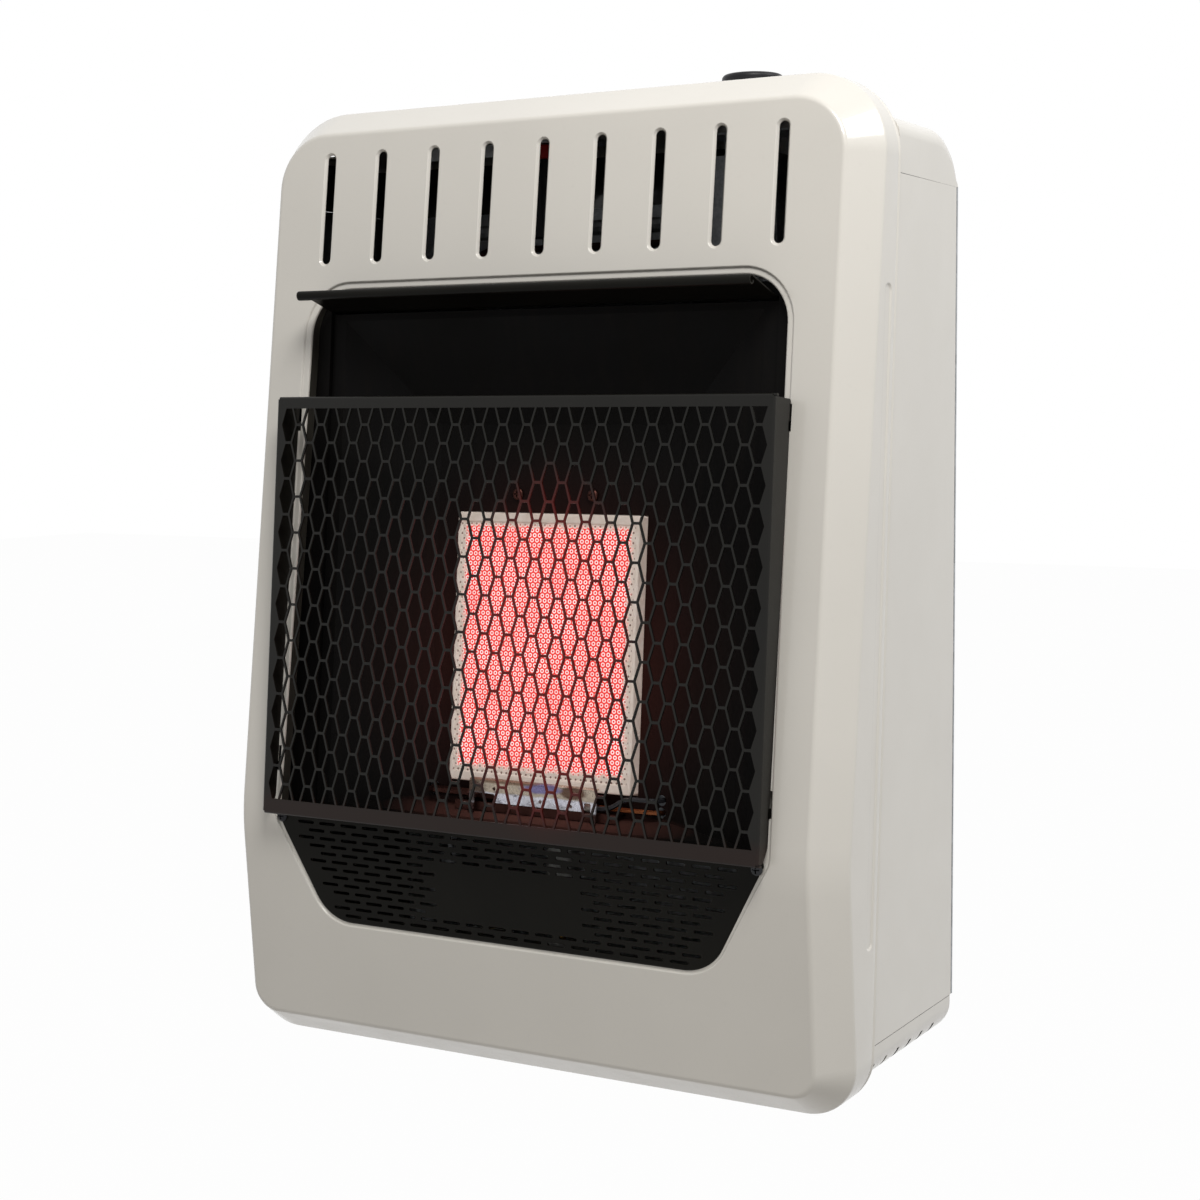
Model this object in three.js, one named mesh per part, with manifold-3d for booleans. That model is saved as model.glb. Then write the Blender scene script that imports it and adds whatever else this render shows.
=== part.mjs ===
// Vent-free infrared plaque heater for a wall: painted steel casing, hearth with one ceramic plaque,
// lift-off wire-mesh guard, push-and-turn gas control and push-button igniter.
// Millimetres. +X is to the right of someone facing the heater, +Y goes into the wall, +Z is up.
// The model is built with Z from the lower edge of the front panel and Y from the wall, and is
// lowered at the end so that the origin lies on the wall between the two hanging slots.

import * as THREE from "three";
import { mergeVertices } from "three/addons/utils/BufferGeometryUtils.js";
import Module from "manifold-3d";

const wasm = await Module();
wasm.setup();

// Whole heater
const PANEL_WIDTH = 416;
const PANEL_HEIGHT = 580;
const HANG_HEIGHT = 470;
const SHEET = 1.2;
const GAP = 0.3;
const ROUND_GAP = 0.35;
const OVERRUN = 5;
const FINE = 0.01;
const MERGE_WITHIN = 1e-4;

// Bowed front: distance of the face from the wall at its top, at its kink and at its bottom
const TOP_DEPTH = 134;
const KINK_DEPTH = 185.3;
const BOTTOM_DEPTH = 174.5;
const KINK_HEIGHT = 142;
const CHAMFER_WIDTH = 15.5;
const CHAMFER_DEPTH = 21.3;
const PANEL_CORNER = 39.5;
const RETURN_DEPTH = 95;

// Seam between front panel and side panels: distance from the wall at both ends of a side panel
const SEAM_TOP_DEPTH = 95.4;
const SEAM_BOTTOM_DEPTH = 127;
const SIDE_TOP = 523.6;
const SIDE_BOTTOM = 35.5;
const SEAM_LAP = 10;

// Opening of the front panel
const OPENING_HALF_WIDTH = 165;
const OPENING_TOP = 467;
const OPENING_SHOULDER = 150;
const OPENING_BOTTOM = 77.5;
const OPENING_FOOT_HALF_WIDTH = 132;
const OPENING_CORNER = 22;
const OPENING_FOOT_CORNER = 18;
const OPENING_FLANGE = 8;

// Warm-air slots over the opening
const SLOT_COUNT = 9;
const SLOT_PITCH = 38.7;
const SLOT_WIDTH = 5.4;
const SLOT_BOTTOM = 483.5;
const SLOT_TOP = 551.3;

// Pressed bead along each side of the front panel
const BEAD_WIDTH = 10;
const BEAD_SINK = 0.5;
const BEAD_SETBACK = 13;
const BEAD_BOTTOM = 92;
const BEAD_TOP = 462;

// Guard: its front sheet leans forward, and the whole hearth leans with it
const LEAN_LESS_THAN_FACE = THREE.MathUtils.degToRad(2.1729);
const GUARD_STAND_OFF = 11.2;
const GUARD_FOOT_HEIGHT = 145.9;
const GUARD_WIDTH = 328.6;
const GUARD_HEIGHT = 256;
const GUARD_SHEET = 1.2;
const GUARD_FLANGE = 26;
const GUARD_FOOT_FLANGE = 6;
const GUARD_FOOT_SLOPE = 22;
const GUARD_TOP_STRIP = 6.5;
const GUARD_FOOT_STRIP = 8.4;
const GUARD_SIDE_STRIP = 3.2;
const GUARD_HEM = 5;
const MESH_COLUMNS = 13;
const MESH_ROWS = 15;
const MESH_STRAND = 1.9;
const MESH_LINK_SHARE = 0.3;
const HOOK_TONGUES = [369.5, 170.5];
const HOOK_ARMS = [381.5, 170.5];
const HOOK_TONGUE_HEIGHT = 11.5;
const HOOK_ARM_HEIGHT = 12;
const HOOK_X = 167.3;
const HOOK_LEG = 7;
const HOOK_CLEAR = 0.6;
const GUARD_LIFT = 9;

// Firebox shell and reflector, in the leaning frame of the hearth (Y is the depth behind the guard)
const SHELL_ROOM = 0.43;
const SHELL_HALF_WIDTH = 153.5;
const SHELL_FLOOR = 1.5;
const SHELL_TOP = 313;
const SHELL_DEEP = 28;
const SHELL_FLANGE = 22;
const SHELL_FOOT_FLANGE = 8;
const RIM_DEPTH = 35;
const MOUTH_HALF_WIDTH = 144;
const MOUTH_BOTTOM = 6;
const MOUTH_TOP = 306;
const BACK_DEPTH = 56;
const BACK_MARGIN = 20.5;
const BACK_BOTTOM = 12;
const BACK_TOP = 243;

// Ceramic plaque and burner behind it
const PLAQUE_WIDTH = 126;
const PLAQUE_HEIGHT = 163;
const PLAQUE_CENTRE = 107.9;
const PLAQUE_FRONT = 47;
const PLAQUE_THICK = 14;
const PLAQUE_RIM = 6;
const PLAQUE_SINK = 0.8;
const PLAQUE_ROOM = 0.6;
const GASKET_THICK = 3;
const GASKET_BAR = 8;
const LEDGE_WIDTH = 6;
const BURNER_DEEP = 40;
const BURNER_FLANGE = 10;
const BURNER_TOP_FLANGE = 18;
const BURNER_SHEET = 1;
const VENTURI_DEPTH = 81;
const VENTURI_THROAT = 9;
const VENTURI_MOUTH = 15;
const VENTURI_BOTTOM = -56;
const VENTURI_FLARE = 22;
const VENTURI_INSERT = 6;
const VENTURI_WALL = 1.2;
const VENTURI_COLLAR = 5;
const INJECTOR_RADIUS = 6;
const INJECTOR_TOP = -62;
const INJECTOR_LENGTH = 24;
const INJECTOR_BORE = 1;
const INJECTOR_TIP = 2;
const INJECTOR_NOSE = 3.4;
const INJECTOR_NOSE_HEIGHT = 5;
const INJECTOR_CARRIER_TOP = -50;
const INJECTOR_CARRIER_BOTTOM = -74;
const INJECTOR_CARRIER_DEEP = 16;

// Pilot group under the plaque
const SHIELD_DEPTH = 41;
const SHIELD_HALF_WIDTH = 44;
const SHIELD_BOTTOM = 15.2;
const SHIELD_TOP = 28.6;
const SHIELD_FOOT = 8;
const CRADLE_INSET = 7;
const CRADLE_FRONT = 44.4;
const CRADLE_REAR = 54.4;
const CRADLE_TOP = 14.7;
const PILOT_DEPTH = 49.4;
const PILOT_RADIUS = 4;
const PILOT_LEFT = -48;
const PILOT_RIGHT = -16;
const PILOT_PORT_RADIUS = 1.2;
const THERMOCOUPLE_DEPTH = 52;
const THERMOCOUPLE_RADIUS = 2.2;
const THERMOCOUPLE_LEFT = -8;
const ELECTRODE_DEPTH = 46.8;
const ELECTRODE_RADIUS = 2.3;
const ELECTRODE_LEFT = -4;
const ELECTRODE_PIN = 10;
const ELECTRODE_PIN_RADIUS = 1;
const PROBE_RIGHT = 40;
const LEAD_HOLE_MARGIN = 16;
const LEAD_HOLE_HEIGHTS = [17.2, 24.5];
const LEAD_RUN_DEPTH = 78;
const LEAD_RUN_SPACING = 8;
const LEAD_HOLE_ROOM = 1.8;

// Gas train
const VALVE_X = 104.6;
const VALVE_Y = -70;
const VALVE_WIDTH = 50;
const VALVE_DEEP = 42;
const VALVE_BOTTOM = 486;
const VALVE_TOP = 540;
const VALVE_CORNER = 5;
const VALVE_PORT_Y = -80;
const VALVE_PORT_HEIGHTS = [492, 505];
const BURNER_PORT_X = 114;
const LEAD_PORT_X = 88;
const LEAD_PORT_Y = -62;
const PLUG_RADIUS = 8;
const PLUG_BOTTOM = 510;
const PLUG_SHOULDER = 536;
const PLUG_NECK_RADIUS = 5.5;
const PLUG_NECK_TOP = 558.5;
const STEM_RADIUS = 3;
const STEM_BOTTOM = 530;
const PLUG_BORE_BOTTOM = 522;
const RUNNING_GAP = 0.4;
const KNOB_RADIUS = 18.2;
const KNOB_CROWN = 2.6;
const KNOB_EASE = 0.76;
const KNOB_BOTTOM = 564.5;
const KNOB_TOP = 588.5;
const KNOB_HUB = 6;
const KNOB_HUB_BOTTOM = 567;
const KNOB_WALL = 2.6;
const VALVE_PLATE_REACH = 4;
const VALVE_PLATE_DROP = 56;
const TUBE_RADIUS = 4.8;
const TUBE_BEND = 14;
const PILOT_TUBE_RADIUS = 2.4;
const LEAD_RADIUS = 1.5;
const LEAD_BEND = 5;
const LEAD_DROP = 28;
const LEAD_STRAIGHT = 10;
const LEAD_RISE_END = 20;
const TUBE_SIDES = 10;
const LEAD_SIDES = 6;
const BEND_SHARE = 0.28;
const REGULATOR_X = -118;
const REGULATOR_Y = -62;
const REGULATOR_BOTTOM = 58;
const REGULATOR_RADIUS = 27;
const REGULATOR_HEIGHT = 34;
const REGULATOR_END_RADIUS = 21.6;
const REGULATOR_SHOULDER = 11.3;
const REGULATOR_CAP_RADIUS = 13;
const REGULATOR_CAP_HEIGHT = 12;
const REGULATOR_STAND_REACH = 34;
const REGULATOR_STAND_HALF_WIDTH = 20.2;
const INLET_RADIUS = 12;
const INLET_BORE = 7;
const INLET_BOTTOM = 6;
const INLET_NUT_RADIUS = 15;
const INLET_NUT_HEIGHT = 12;

// Igniter
const IGNITER_X = -30;
const IGNITER_Y = -85;
const IGNITER_RADIUS = 8.5;
const IGNITER_BOTTOM = 498;
const IGNITER_HEAD_RADIUS = 11;
const IGNITER_HEAD = 4;
const IGNITER_NUT_RADIUS = 13;
const IGNITER_NUT = 8.5;
const BUTTON_RADIUS = 5.6;
const BUTTON_TOP = 575;
const BUTTON_BOTTOM = 538;
const BUTTON_TRAVEL = 8;
const BUTTON_EDGE = 1.2;

// Casing
const COVER_TOP = 556.5;
const COVER_CORNER = 31;
const UPSTAND_HALF_WIDTH = 160;
const UPSTAND_DEPTH = 112;
const UPSTAND_TOP = 570;
const PAN_BOTTOM = 17;
const PAN_EDGE = 15;
const PAN_REAR_EDGE = 11;
const PAN_UPSTAND_DEPTH = 140;
const PAN_UPSTAND_TOP = 30;
const PAN_SLOTS = 6;
const PAN_SLOT_PITCH = 18.6;
const PAN_SLOT_WIDTH = 3.4;
const PAN_SLOT_REAR = 29;
const PAN_SLOT_IN = 38;
const PAN_SLOT_RISE = 9;
const SIDE_FLANGE = 12;
const KEYHOLE_X = 130;
const KEYHOLE_RADIUS = 6;
const KEYHOLE_NECK = 2.8;
const KEYHOLE_RISE = 14;
const BRACKET_BOTTOM = 280;
const BRACKET_HEIGHT = 60;
const BRACKET_ROOM = 0.76;
const BRACKET_ARM = 30;
const BRACKET_FOOT = 24;
const SCREW_RADIUS = 3.6;
const SCREW_HEAD = 2;
const SCREW_CROWN = 2.7;
const SCREW_ROOM = 7.2;
const SCREW_SHANK = 1.8;
const SCREW_LENGTH = 7;
const SCREW_X = 26;
const SCREW_HEIGHT = 201;
const LOUVRE_SCREW_X = 155;
const LOUVRE_SCREW_HEIGHT = 141;

// Hot-air deflector over the hearth
const DEFLECTOR_HALF_WIDTH = 153;
const DEFLECTOR_FRONT = -2;
const DEFLECTOR_FRONT_HEIGHT = 317.8;
const DEFLECTOR_BEND = 30;
const DEFLECTOR_REAR = 54;
const DEFLECTOR_HEM = 2.2;

// Lower grille
const LOUVRE_SINK = 3;
const LOUVRE_ROOM = 0.5;
const LOUVRE_TOP = 147;
const LOUVRE_FLANGE = 8;
const LOUVRE_ROWS = 7;
const LOUVRE_ROW_PITCH = 9.4;
const LOUVRE_FIRST_ROW = 87;
const LOUVRE_SLOT_LENGTH = 21;
const LOUVRE_SLOT_HEIGHT = 3.4;
const LOUVRE_SLOT_PITCH = 29;
const LOUVRE_MARGIN = 9;
const BARE_HALF_WIDTH = 48;
const BARE_BOTTOM = 92;
const BARE_TOP = 122;

// Plate behind the warm-air slots
const PLATE_LEFT = -135;
const PLATE_RIGHT = 12;
const PLATE_DEPTH = 102;
const PLATE_REAR = 68;
const PLATE_BOTTOM = 547.5;
const PLATE_NOTCH = 18;

const ROUND = 24;
const KNOB_SIDES = 32;
const BAR_SIDES = 12;
const PIN_SIDES = 8;
const HEX_SIDES = 6;
const COVER_STEPS = 6;
const CORNER_STEPS = 5;
const SLOT_STEPS = 3;
const HALF_WIDTH = PANEL_WIDTH / 2;
const CASE_HALF_WIDTH = HALF_WIDTH - SHEET - GAP;
const faceRise = PANEL_HEIGHT - CHAMFER_WIDTH - KINK_HEIGHT;
const lean = Math.atan2(KINK_DEPTH - TOP_DEPTH, faceRise) - LEAN_LESS_THAN_FACE;
const leanSin = Math.sin(lean);
const leanCos = Math.cos(lean);
const guardFootDepth = KINK_DEPTH + GUARD_STAND_OFF;
const backHalfWidth = PLAQUE_WIDTH / 2 + BACK_MARGIN;
const leadHoleX = PLAQUE_WIDTH / 2 + LEAD_HOLE_MARGIN;
const cradleHalfWidth = PLAQUE_WIDTH / 2 - CRADLE_INSET;

// Finishes
const finishes = {
  cream: new THREE.MeshStandardMaterial({ color: 0xe4e0d8, roughness: 0.35, metalness: 0 }),
  black: new THREE.MeshStandardMaterial({ color: 0x1b1b1a, roughness: 0.6, metalness: 0.1 }),
  ceramic: new THREE.MeshStandardMaterial({ color: 0xff6a5a, roughness: 0.95, metalness: 0 }),
  fibre: new THREE.MeshStandardMaterial({ color: 0xe8e4da, roughness: 1, metalness: 0 }),
  galvanised: new THREE.MeshStandardMaterial({ color: 0xa9adb0, roughness: 0.4, metalness: 0.9 }),
  aluminised: new THREE.MeshStandardMaterial({ color: 0xb9bbbb, roughness: 0.5, metalness: 0.9 }),
  aluminium: new THREE.MeshStandardMaterial({ color: 0xc0c2c4, roughness: 0.45, metalness: 1 }),
  brass: new THREE.MeshStandardMaterial({ color: 0xb8924a, roughness: 0.35, metalness: 1 }),
  copper: new THREE.MeshStandardMaterial({ color: 0xb5704a, roughness: 0.4, metalness: 1 }),
  steel: new THREE.MeshStandardMaterial({ color: 0x9a9c9e, roughness: 0.35, metalness: 1 }),
  porcelain: new THREE.MeshStandardMaterial({ color: 0xf2efe8, roughness: 0.3, metalness: 0 }),
  red: new THREE.MeshStandardMaterial({ color: 0xc4161c, roughness: 0.4, metalness: 0 }),
  plastic: new THREE.MeshStandardMaterial({ color: 0x151515, roughness: 0.45, metalness: 0 }),
  wire: new THREE.MeshStandardMaterial({ color: 0x2a2a2a, roughness: 0.6, metalness: 0 }),
};

// Shape of the casing

function between(lowKey, highKey, key, lowValue, highValue) {
  return lowValue + (highValue - lowValue) * (key - lowKey) / (highKey - lowKey);
}

function faceY(z) {
  if (z >= KINK_HEIGHT) {
    return between(KINK_HEIGHT, PANEL_HEIGHT - CHAMFER_WIDTH, z, -KINK_DEPTH, -TOP_DEPTH);
  }
  return between(CHAMFER_WIDTH, KINK_HEIGHT, z, -BOTTOM_DEPTH, -KINK_DEPTH);
}

function seamY(z) {
  return between(SIDE_BOTTOM, SIDE_TOP, z, -SEAM_BOTTOM_DEPTH, -SEAM_TOP_DEPTH);
}

// Solids and meshes

function toSolid(geometry) {
  const bare = new THREE.BufferGeometry();
  bare.setAttribute("position", geometry.getAttribute("position"));
  bare.setIndex(geometry.index);
  const merged = mergeVertices(bare, MERGE_WITHIN);
  const vertProperties = new Float32Array(merged.getAttribute("position").array);
  const triVerts = new Uint32Array(merged.index.array);
  return new wasm.Manifold(new wasm.Mesh({ numProp: 3, vertProperties, triVerts }));
}

function toGeometry(solid) {
  const mesh = solid.getMesh();
  const geometry = new THREE.BufferGeometry();
  geometry.setAttribute("position", new THREE.BufferAttribute(mesh.vertProperties, mesh.numProp));
  geometry.setIndex(new THREE.BufferAttribute(mesh.triVerts, 1));
  return geometry;
}

function join(...geometries) {
  return toGeometry(geometries.map(toSolid).reduce((all, solid) => all.add(solid)));
}

function cut(geometry, ...tools) {
  return toGeometry(tools.map(toSolid).reduce((all, solid) => all.subtract(solid), toSolid(geometry)));
}

function common(first, second) {
  return toGeometry(toSolid(first).intersect(toSolid(second)));
}

// A closed mesh from points and faces, turned so that it faces out
function closedMesh(points, faces) {
  const a = new THREE.Vector3();
  const volume = faces.reduce((sum, [i, j, k]) => {
    return sum + a.copy(points[i]).cross(points[j]).dot(points[k]);
  }, 0);
  const index = faces.flatMap(([i, j, k]) => (volume > 0 ? [i, j, k] : [i, k, j]));
  const geometry = new THREE.BufferGeometry();
  geometry.setFromPoints(points);
  geometry.setIndex(index);
  return geometry;
}

// Rings of equal count joined by a skin and closed by flat ends
function loft(rings) {
  const count = rings[0].length;
  const faces = [];
  for (let ring = 0; ring + 1 < rings.length; ring += 1) {
    for (let i = 0; i < count; i += 1) {
      const here = ring * count + i;
      const next = ring * count + (i + 1) % count;
      faces.push([here, next, next + count]);
      faces.push([here, next + count, here + count]);
    }
  }
  const last = (rings.length - 1) * count;
  for (let i = 1; i + 1 < count; i += 1) {
    faces.push([0, i + 1, i]);
    faces.push([last, last + i, last + i + 1]);
  }
  return closedMesh(rings.flat(), faces);
}

function box(lowX, highX, lowY, highY, lowZ, highZ) {
  const geometry = new THREE.BoxGeometry(highX - lowX, highY - lowY, highZ - lowZ);
  return geometry.translate((lowX + highX) / 2, (lowY + highY) / 2, (lowZ + highZ) / 2);
}

// Corner points of an outline with each corner rounded by an arc
function rounded(corners, radii, steps = CORNER_STEPS) {
  return corners.flatMap((corner, i) => {
    const back = corners[(i + corners.length - 1) % corners.length].clone().sub(corner).normalize();
    const ahead = corners[(i + 1) % corners.length].clone().sub(corner).normalize();
    const half = back.angleTo(ahead) / 2;
    const radius = radii[i];
    if (radius === 0) {
      return [corner.clone()];
    }
    const middle = back.clone().add(ahead).normalize();
    const centre = corner.clone().addScaledVector(middle, radius / Math.sin(half));
    const start = corner.clone().addScaledVector(back, radius / Math.tan(half)).sub(centre);
    const turn = (Math.PI - 2 * half) * Math.sign(ahead.cross(back));
    const arc = [];
    for (let step = 0; step <= steps; step += 1) {
      arc.push(start.clone().rotateAround(new THREE.Vector2(), turn * step / steps).add(centre));
    }
    return arc;
  });
}

// An outline moved outward by the same distance along each side; its corners run anticlockwise
function grown(corners, by) {
  return corners.map((corner, i) => {
    const before = corner.clone().sub(corners[(i + corners.length - 1) % corners.length]).normalize();
    const after = corners[(i + 1) % corners.length].clone().sub(corner).normalize();
    const outBefore = new THREE.Vector2(before.y, -before.x);
    const outAfter = new THREE.Vector2(after.y, -after.x);
    const mitre = outBefore.clone().add(outAfter);
    return corner.clone().addScaledVector(mitre, by / (1 + outBefore.dot(outAfter)));
  });
}

function flat(...pairs) {
  return pairs.map(([x, y]) => new THREE.Vector2(x, y));
}

// A shape drawn in X and Z, with or without holes, extruded from one Y to another
function plateY(outline, fromY, toY, holes = []) {
  const shape = new THREE.Shape(outline);
  holes.forEach((hole) => shape.holes.push(new THREE.Path(hole)));
  const geometry = new THREE.ExtrudeGeometry(shape, { depth: toY - fromY, bevelEnabled: false, steps: 1 });
  return geometry.rotateX(Math.PI / 2).translate(0, toY, 0);
}

// Several separate shapes drawn in X and Z, extruded together
function platesY(outlines, fromY, toY) {
  const shapes = outlines.map((outline) => new THREE.Shape(outline));
  const geometry = new THREE.ExtrudeGeometry(shapes, { depth: toY - fromY, bevelEnabled: false, steps: 1 });
  return geometry.rotateX(Math.PI / 2).translate(0, toY, 0);
}

function rectangle(lowX, highX, lowZ, highZ) {
  return flat([lowX, lowZ], [highX, lowZ], [highX, highZ], [lowX, highZ]);
}

function circle(x, y, radius, sides = ROUND) {
  const points = [];
  for (let i = 0; i < sides; i += 1) {
    const angle = 2 * Math.PI * i / sides;
    points.push(new THREE.Vector2(x + radius * Math.cos(angle), y + radius * Math.sin(angle)));
  }
  return points;
}

// A shape drawn in Y and Z, extruded from one X to another
function plateX(outline, fromX, toX) {
  const shape = new THREE.Shape(outline);
  const geometry = new THREE.ExtrudeGeometry(shape, { depth: toX - fromX, bevelEnabled: false, steps: 1 });
  const turn = new THREE.Matrix4().makeBasis(
    new THREE.Vector3(0, 1, 0),
    new THREE.Vector3(0, 0, 1),
    new THREE.Vector3(1, 0, 0),
  );
  return geometry.applyMatrix4(turn).translate(fromX, 0, 0);
}

// A shape drawn in X and Y, extruded from one Z to another
function plateZ(outline, fromZ, toZ, holes = []) {
  const shape = new THREE.Shape(outline);
  holes.forEach((hole) => shape.holes.push(new THREE.Path(hole)));
  const geometry = new THREE.ExtrudeGeometry(shape, { depth: toZ - fromZ, bevelEnabled: false, steps: 1 });
  return geometry.translate(0, 0, fromZ);
}

// A turned piece about a vertical axis through x and y; its profile is radius and height
function turned(x, y, profile, sides = ROUND) {
  const geometry = new THREE.LatheGeometry(flat(...profile), sides);
  const merged = mergeVertices(new THREE.BufferGeometry()
    .setAttribute("position", geometry.getAttribute("position"))
    .setIndex(geometry.index), MERGE_WITHIN);
  const points = [];
  const position = merged.getAttribute("position");
  for (let i = 0; i < position.count; i += 1) {
    points.push(new THREE.Vector3(position.getX(i), -position.getZ(i), position.getY(i)));
  }
  const faces = [];
  for (let i = 0; i < merged.index.count; i += 3) {
    const [a, b, c] = merged.index.array.slice(i, i + 3);
    if (a !== b && b !== c && c !== a) {
      faces.push([a, b, c]);
    }
  }
  return closedMesh(points, faces).translate(x, y, 0);
}

function rod(x, y, radius, bottom, top, sides = ROUND) {
  return turned(x, y, [[0, bottom], [radius, bottom], [radius, top], [0, top]], sides);
}

function ring(x, y, radius, bore, bottom, top, sides = ROUND) {
  return turned(x, y, [[bore, bottom], [radius, bottom], [radius, top], [bore, top], [bore, bottom]], sides);
}

// A round bar along X
function barX(fromX, toX, y, z, radius, sides = BAR_SIDES) {
  const bar = rod(0, 0, radius, fromX, toX, sides);
  return bar.rotateY(Math.PI / 2).translate(0, y, z);
}

// A route of straight legs whose points, not its length, set the stations of what runs along it
class Route extends THREE.Curve {
  constructor(points) {
    super();
    this.points = points;
  }

  getPoint(t) {
    const legs = this.points.length - 1;
    const leg = Math.min(Math.floor(t * legs), legs - 1);
    return this.points[leg].clone().lerp(this.points[leg + 1], t * legs - leg);
  }

  getUtoTmapping(u) {
    return u;
  }
}

// A round tube along corner points, with an easy bend at each inner corner
function tube(corners, radius, bend, sides = TUBE_SIDES) {
  const points = corners.map((corner) => new THREE.Vector3(...corner));
  const path = [points[0]];
  points.slice(1, -1).forEach((corner, i) => {
    const back = points[i].clone().sub(corner).setLength(bend);
    const ahead = points[i + 2].clone().sub(corner).setLength(bend);
    path.push(corner.clone().add(back));
    path.push(corner.clone().addScaledVector(back.clone().add(ahead), BEND_SHARE));
    path.push(corner.clone().add(ahead));
  });
  path.push(points[points.length - 1]);
  const section = new THREE.Shape(circle(0, 0, radius, sides));
  return new THREE.ExtrudeGeometry(section, {
    steps: path.length - 1,
    bevelEnabled: false,
    extrudePath: new Route(path),
  });
}

// A stadium: a slot with round ends, standing upright
function slotOutline(x, bottom, top, width, steps = SLOT_STEPS) {
  const radius = width / 2;
  const corners = flat(
    [x - radius, bottom],
    [x + radius, bottom],
    [x + radius, top],
    [x - radius, top],
  );
  return rounded(corners, Array(4).fill(radius - FINE), steps);
}

// Sheet that is modelled flat, with Y as the depth behind the face, takes the bow of the front panel.
// Faces that cross the kink are divided there, so the bend is exact.
function bowed(geometry) {
  const merged = mergeVertices(new THREE.BufferGeometry()
    .setAttribute("position", geometry.getAttribute("position"))
    .setIndex(geometry.index), MERGE_WITHIN);
  const position = merged.getAttribute("position");
  const points = [];
  for (let i = 0; i < position.count; i += 1) {
    points.push(new THREE.Vector3().fromBufferAttribute(position, i));
  }
  const divided = new Map();
  const divide = (a, b) => {
    const key = [a, b].sort((p, q) => p - q).join(" ");
    if (!divided.has(key)) {
      const [low, high] = points[a].z < points[b].z ? [points[a], points[b]] : [points[b], points[a]];
      const point = low.clone().lerp(high, (KINK_HEIGHT - low.z) / (high.z - low.z));
      divided.set(key, points.push(point) - 1);
    }
    return divided.get(key);
  };
  const faces = [];
  for (let i = 0; i < merged.index.count; i += 3) {
    const face = [...merged.index.array.slice(i, i + 3)];
    const sides = face.map((corner) => Math.sign(points[corner].z - KINK_HEIGHT));
    const parts = sides.includes(1) && sides.includes(-1) ? [1, -1] : [0];
    parts.forEach((side) => {
      const outline = [];
      face.forEach((corner, j) => {
        const next = (j + 1) % 3;
        if (side === 0 || sides[j] !== -side) {
          outline.push(corner);
        }
        if (side !== 0 && sides[j] * sides[next] === -1) {
          outline.push(divide(corner, face[next]));
        }
      });
      for (let k = 1; k + 1 < outline.length; k += 1) {
        faces.push([outline[0], outline[k], outline[k + 1]]);
      }
    });
  }
  points.forEach((point) => {
    point.y += faceY(point.z);
  });
  return closedMesh(points, faces);
}

// The scene

const heater = new THREE.Group();
const casing = new THREE.Group();
const hearth = new THREE.Group();
heater.add(casing, hearth);
hearth.position.set(0, -guardFootDepth, GUARD_FOOT_HEIGHT);
hearth.rotation.x = -lean;

function add(group, name, finish, geometry) {
  const mesh = new THREE.Mesh(geometry, finishes[finish]);
  mesh.name = name;
  group.add(mesh);
  return mesh;
}

// Depth behind the guard of a point of the casing, and its height along the guard
function hearthDepth(y, z) {
  return (y + guardFootDepth) * leanCos - (z - GUARD_FOOT_HEIGHT) * leanSin;
}

function hearthHeight(y, z) {
  return (y + guardFootDepth) * leanSin + (z - GUARD_FOOT_HEIGHT) * leanCos;
}

// A hearth point's distance from the wall and its height above the panel's lower edge
function depthOf(behind, along) {
  return -guardFootDepth + behind * leanCos + along * leanSin;
}

function heightOf(behind, along) {
  return GUARD_FOOT_HEIGHT - behind * leanSin + along * leanCos;
}

// Distance from the wall, at a casing height, of the plane that lies this deep behind the guard
function depthAt(behind, z) {
  return depthOf(behind, (z - GUARD_FOOT_HEIGHT + behind * leanSin) / leanCos);
}

function fromHearth(x, behind, along) {
  return [x, depthOf(behind, along), heightOf(behind, along)];
}

// Depth of the front panel's face behind the guard, and the height along the guard, at a casing height
function faceDepth(z) {
  return hearthDepth(faceY(z), z);
}

function faceHeight(z) {
  return hearthHeight(faceY(z), z);
}

// Front panel

const openingCorners = flat(
  [-OPENING_FOOT_HALF_WIDTH, OPENING_BOTTOM],
  [OPENING_FOOT_HALF_WIDTH, OPENING_BOTTOM],
  [OPENING_HALF_WIDTH, OPENING_SHOULDER],
  [OPENING_HALF_WIDTH, OPENING_TOP],
  [-OPENING_HALF_WIDTH, OPENING_TOP],
  [-OPENING_HALF_WIDTH, OPENING_SHOULDER],
);
const openingRadii = [
  OPENING_FOOT_CORNER,
  OPENING_FOOT_CORNER,
  OPENING_CORNER,
  OPENING_CORNER,
  OPENING_CORNER,
  OPENING_CORNER,
];

function openingOutline(by) {
  return rounded(grown(openingCorners, by), openingRadii.map((radius) => radius + by));
}

function trayRing(depth, inset) {
  const half = HALF_WIDTH - inset;
  const corners = rectangle(-half, half, inset, PANEL_HEIGHT - inset);
  const radius = PANEL_CORNER - inset;
  return rounded(corners, [radius, radius, radius, radius]).map((p) => new THREE.Vector3(p.x, depth, p.y));
}

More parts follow.
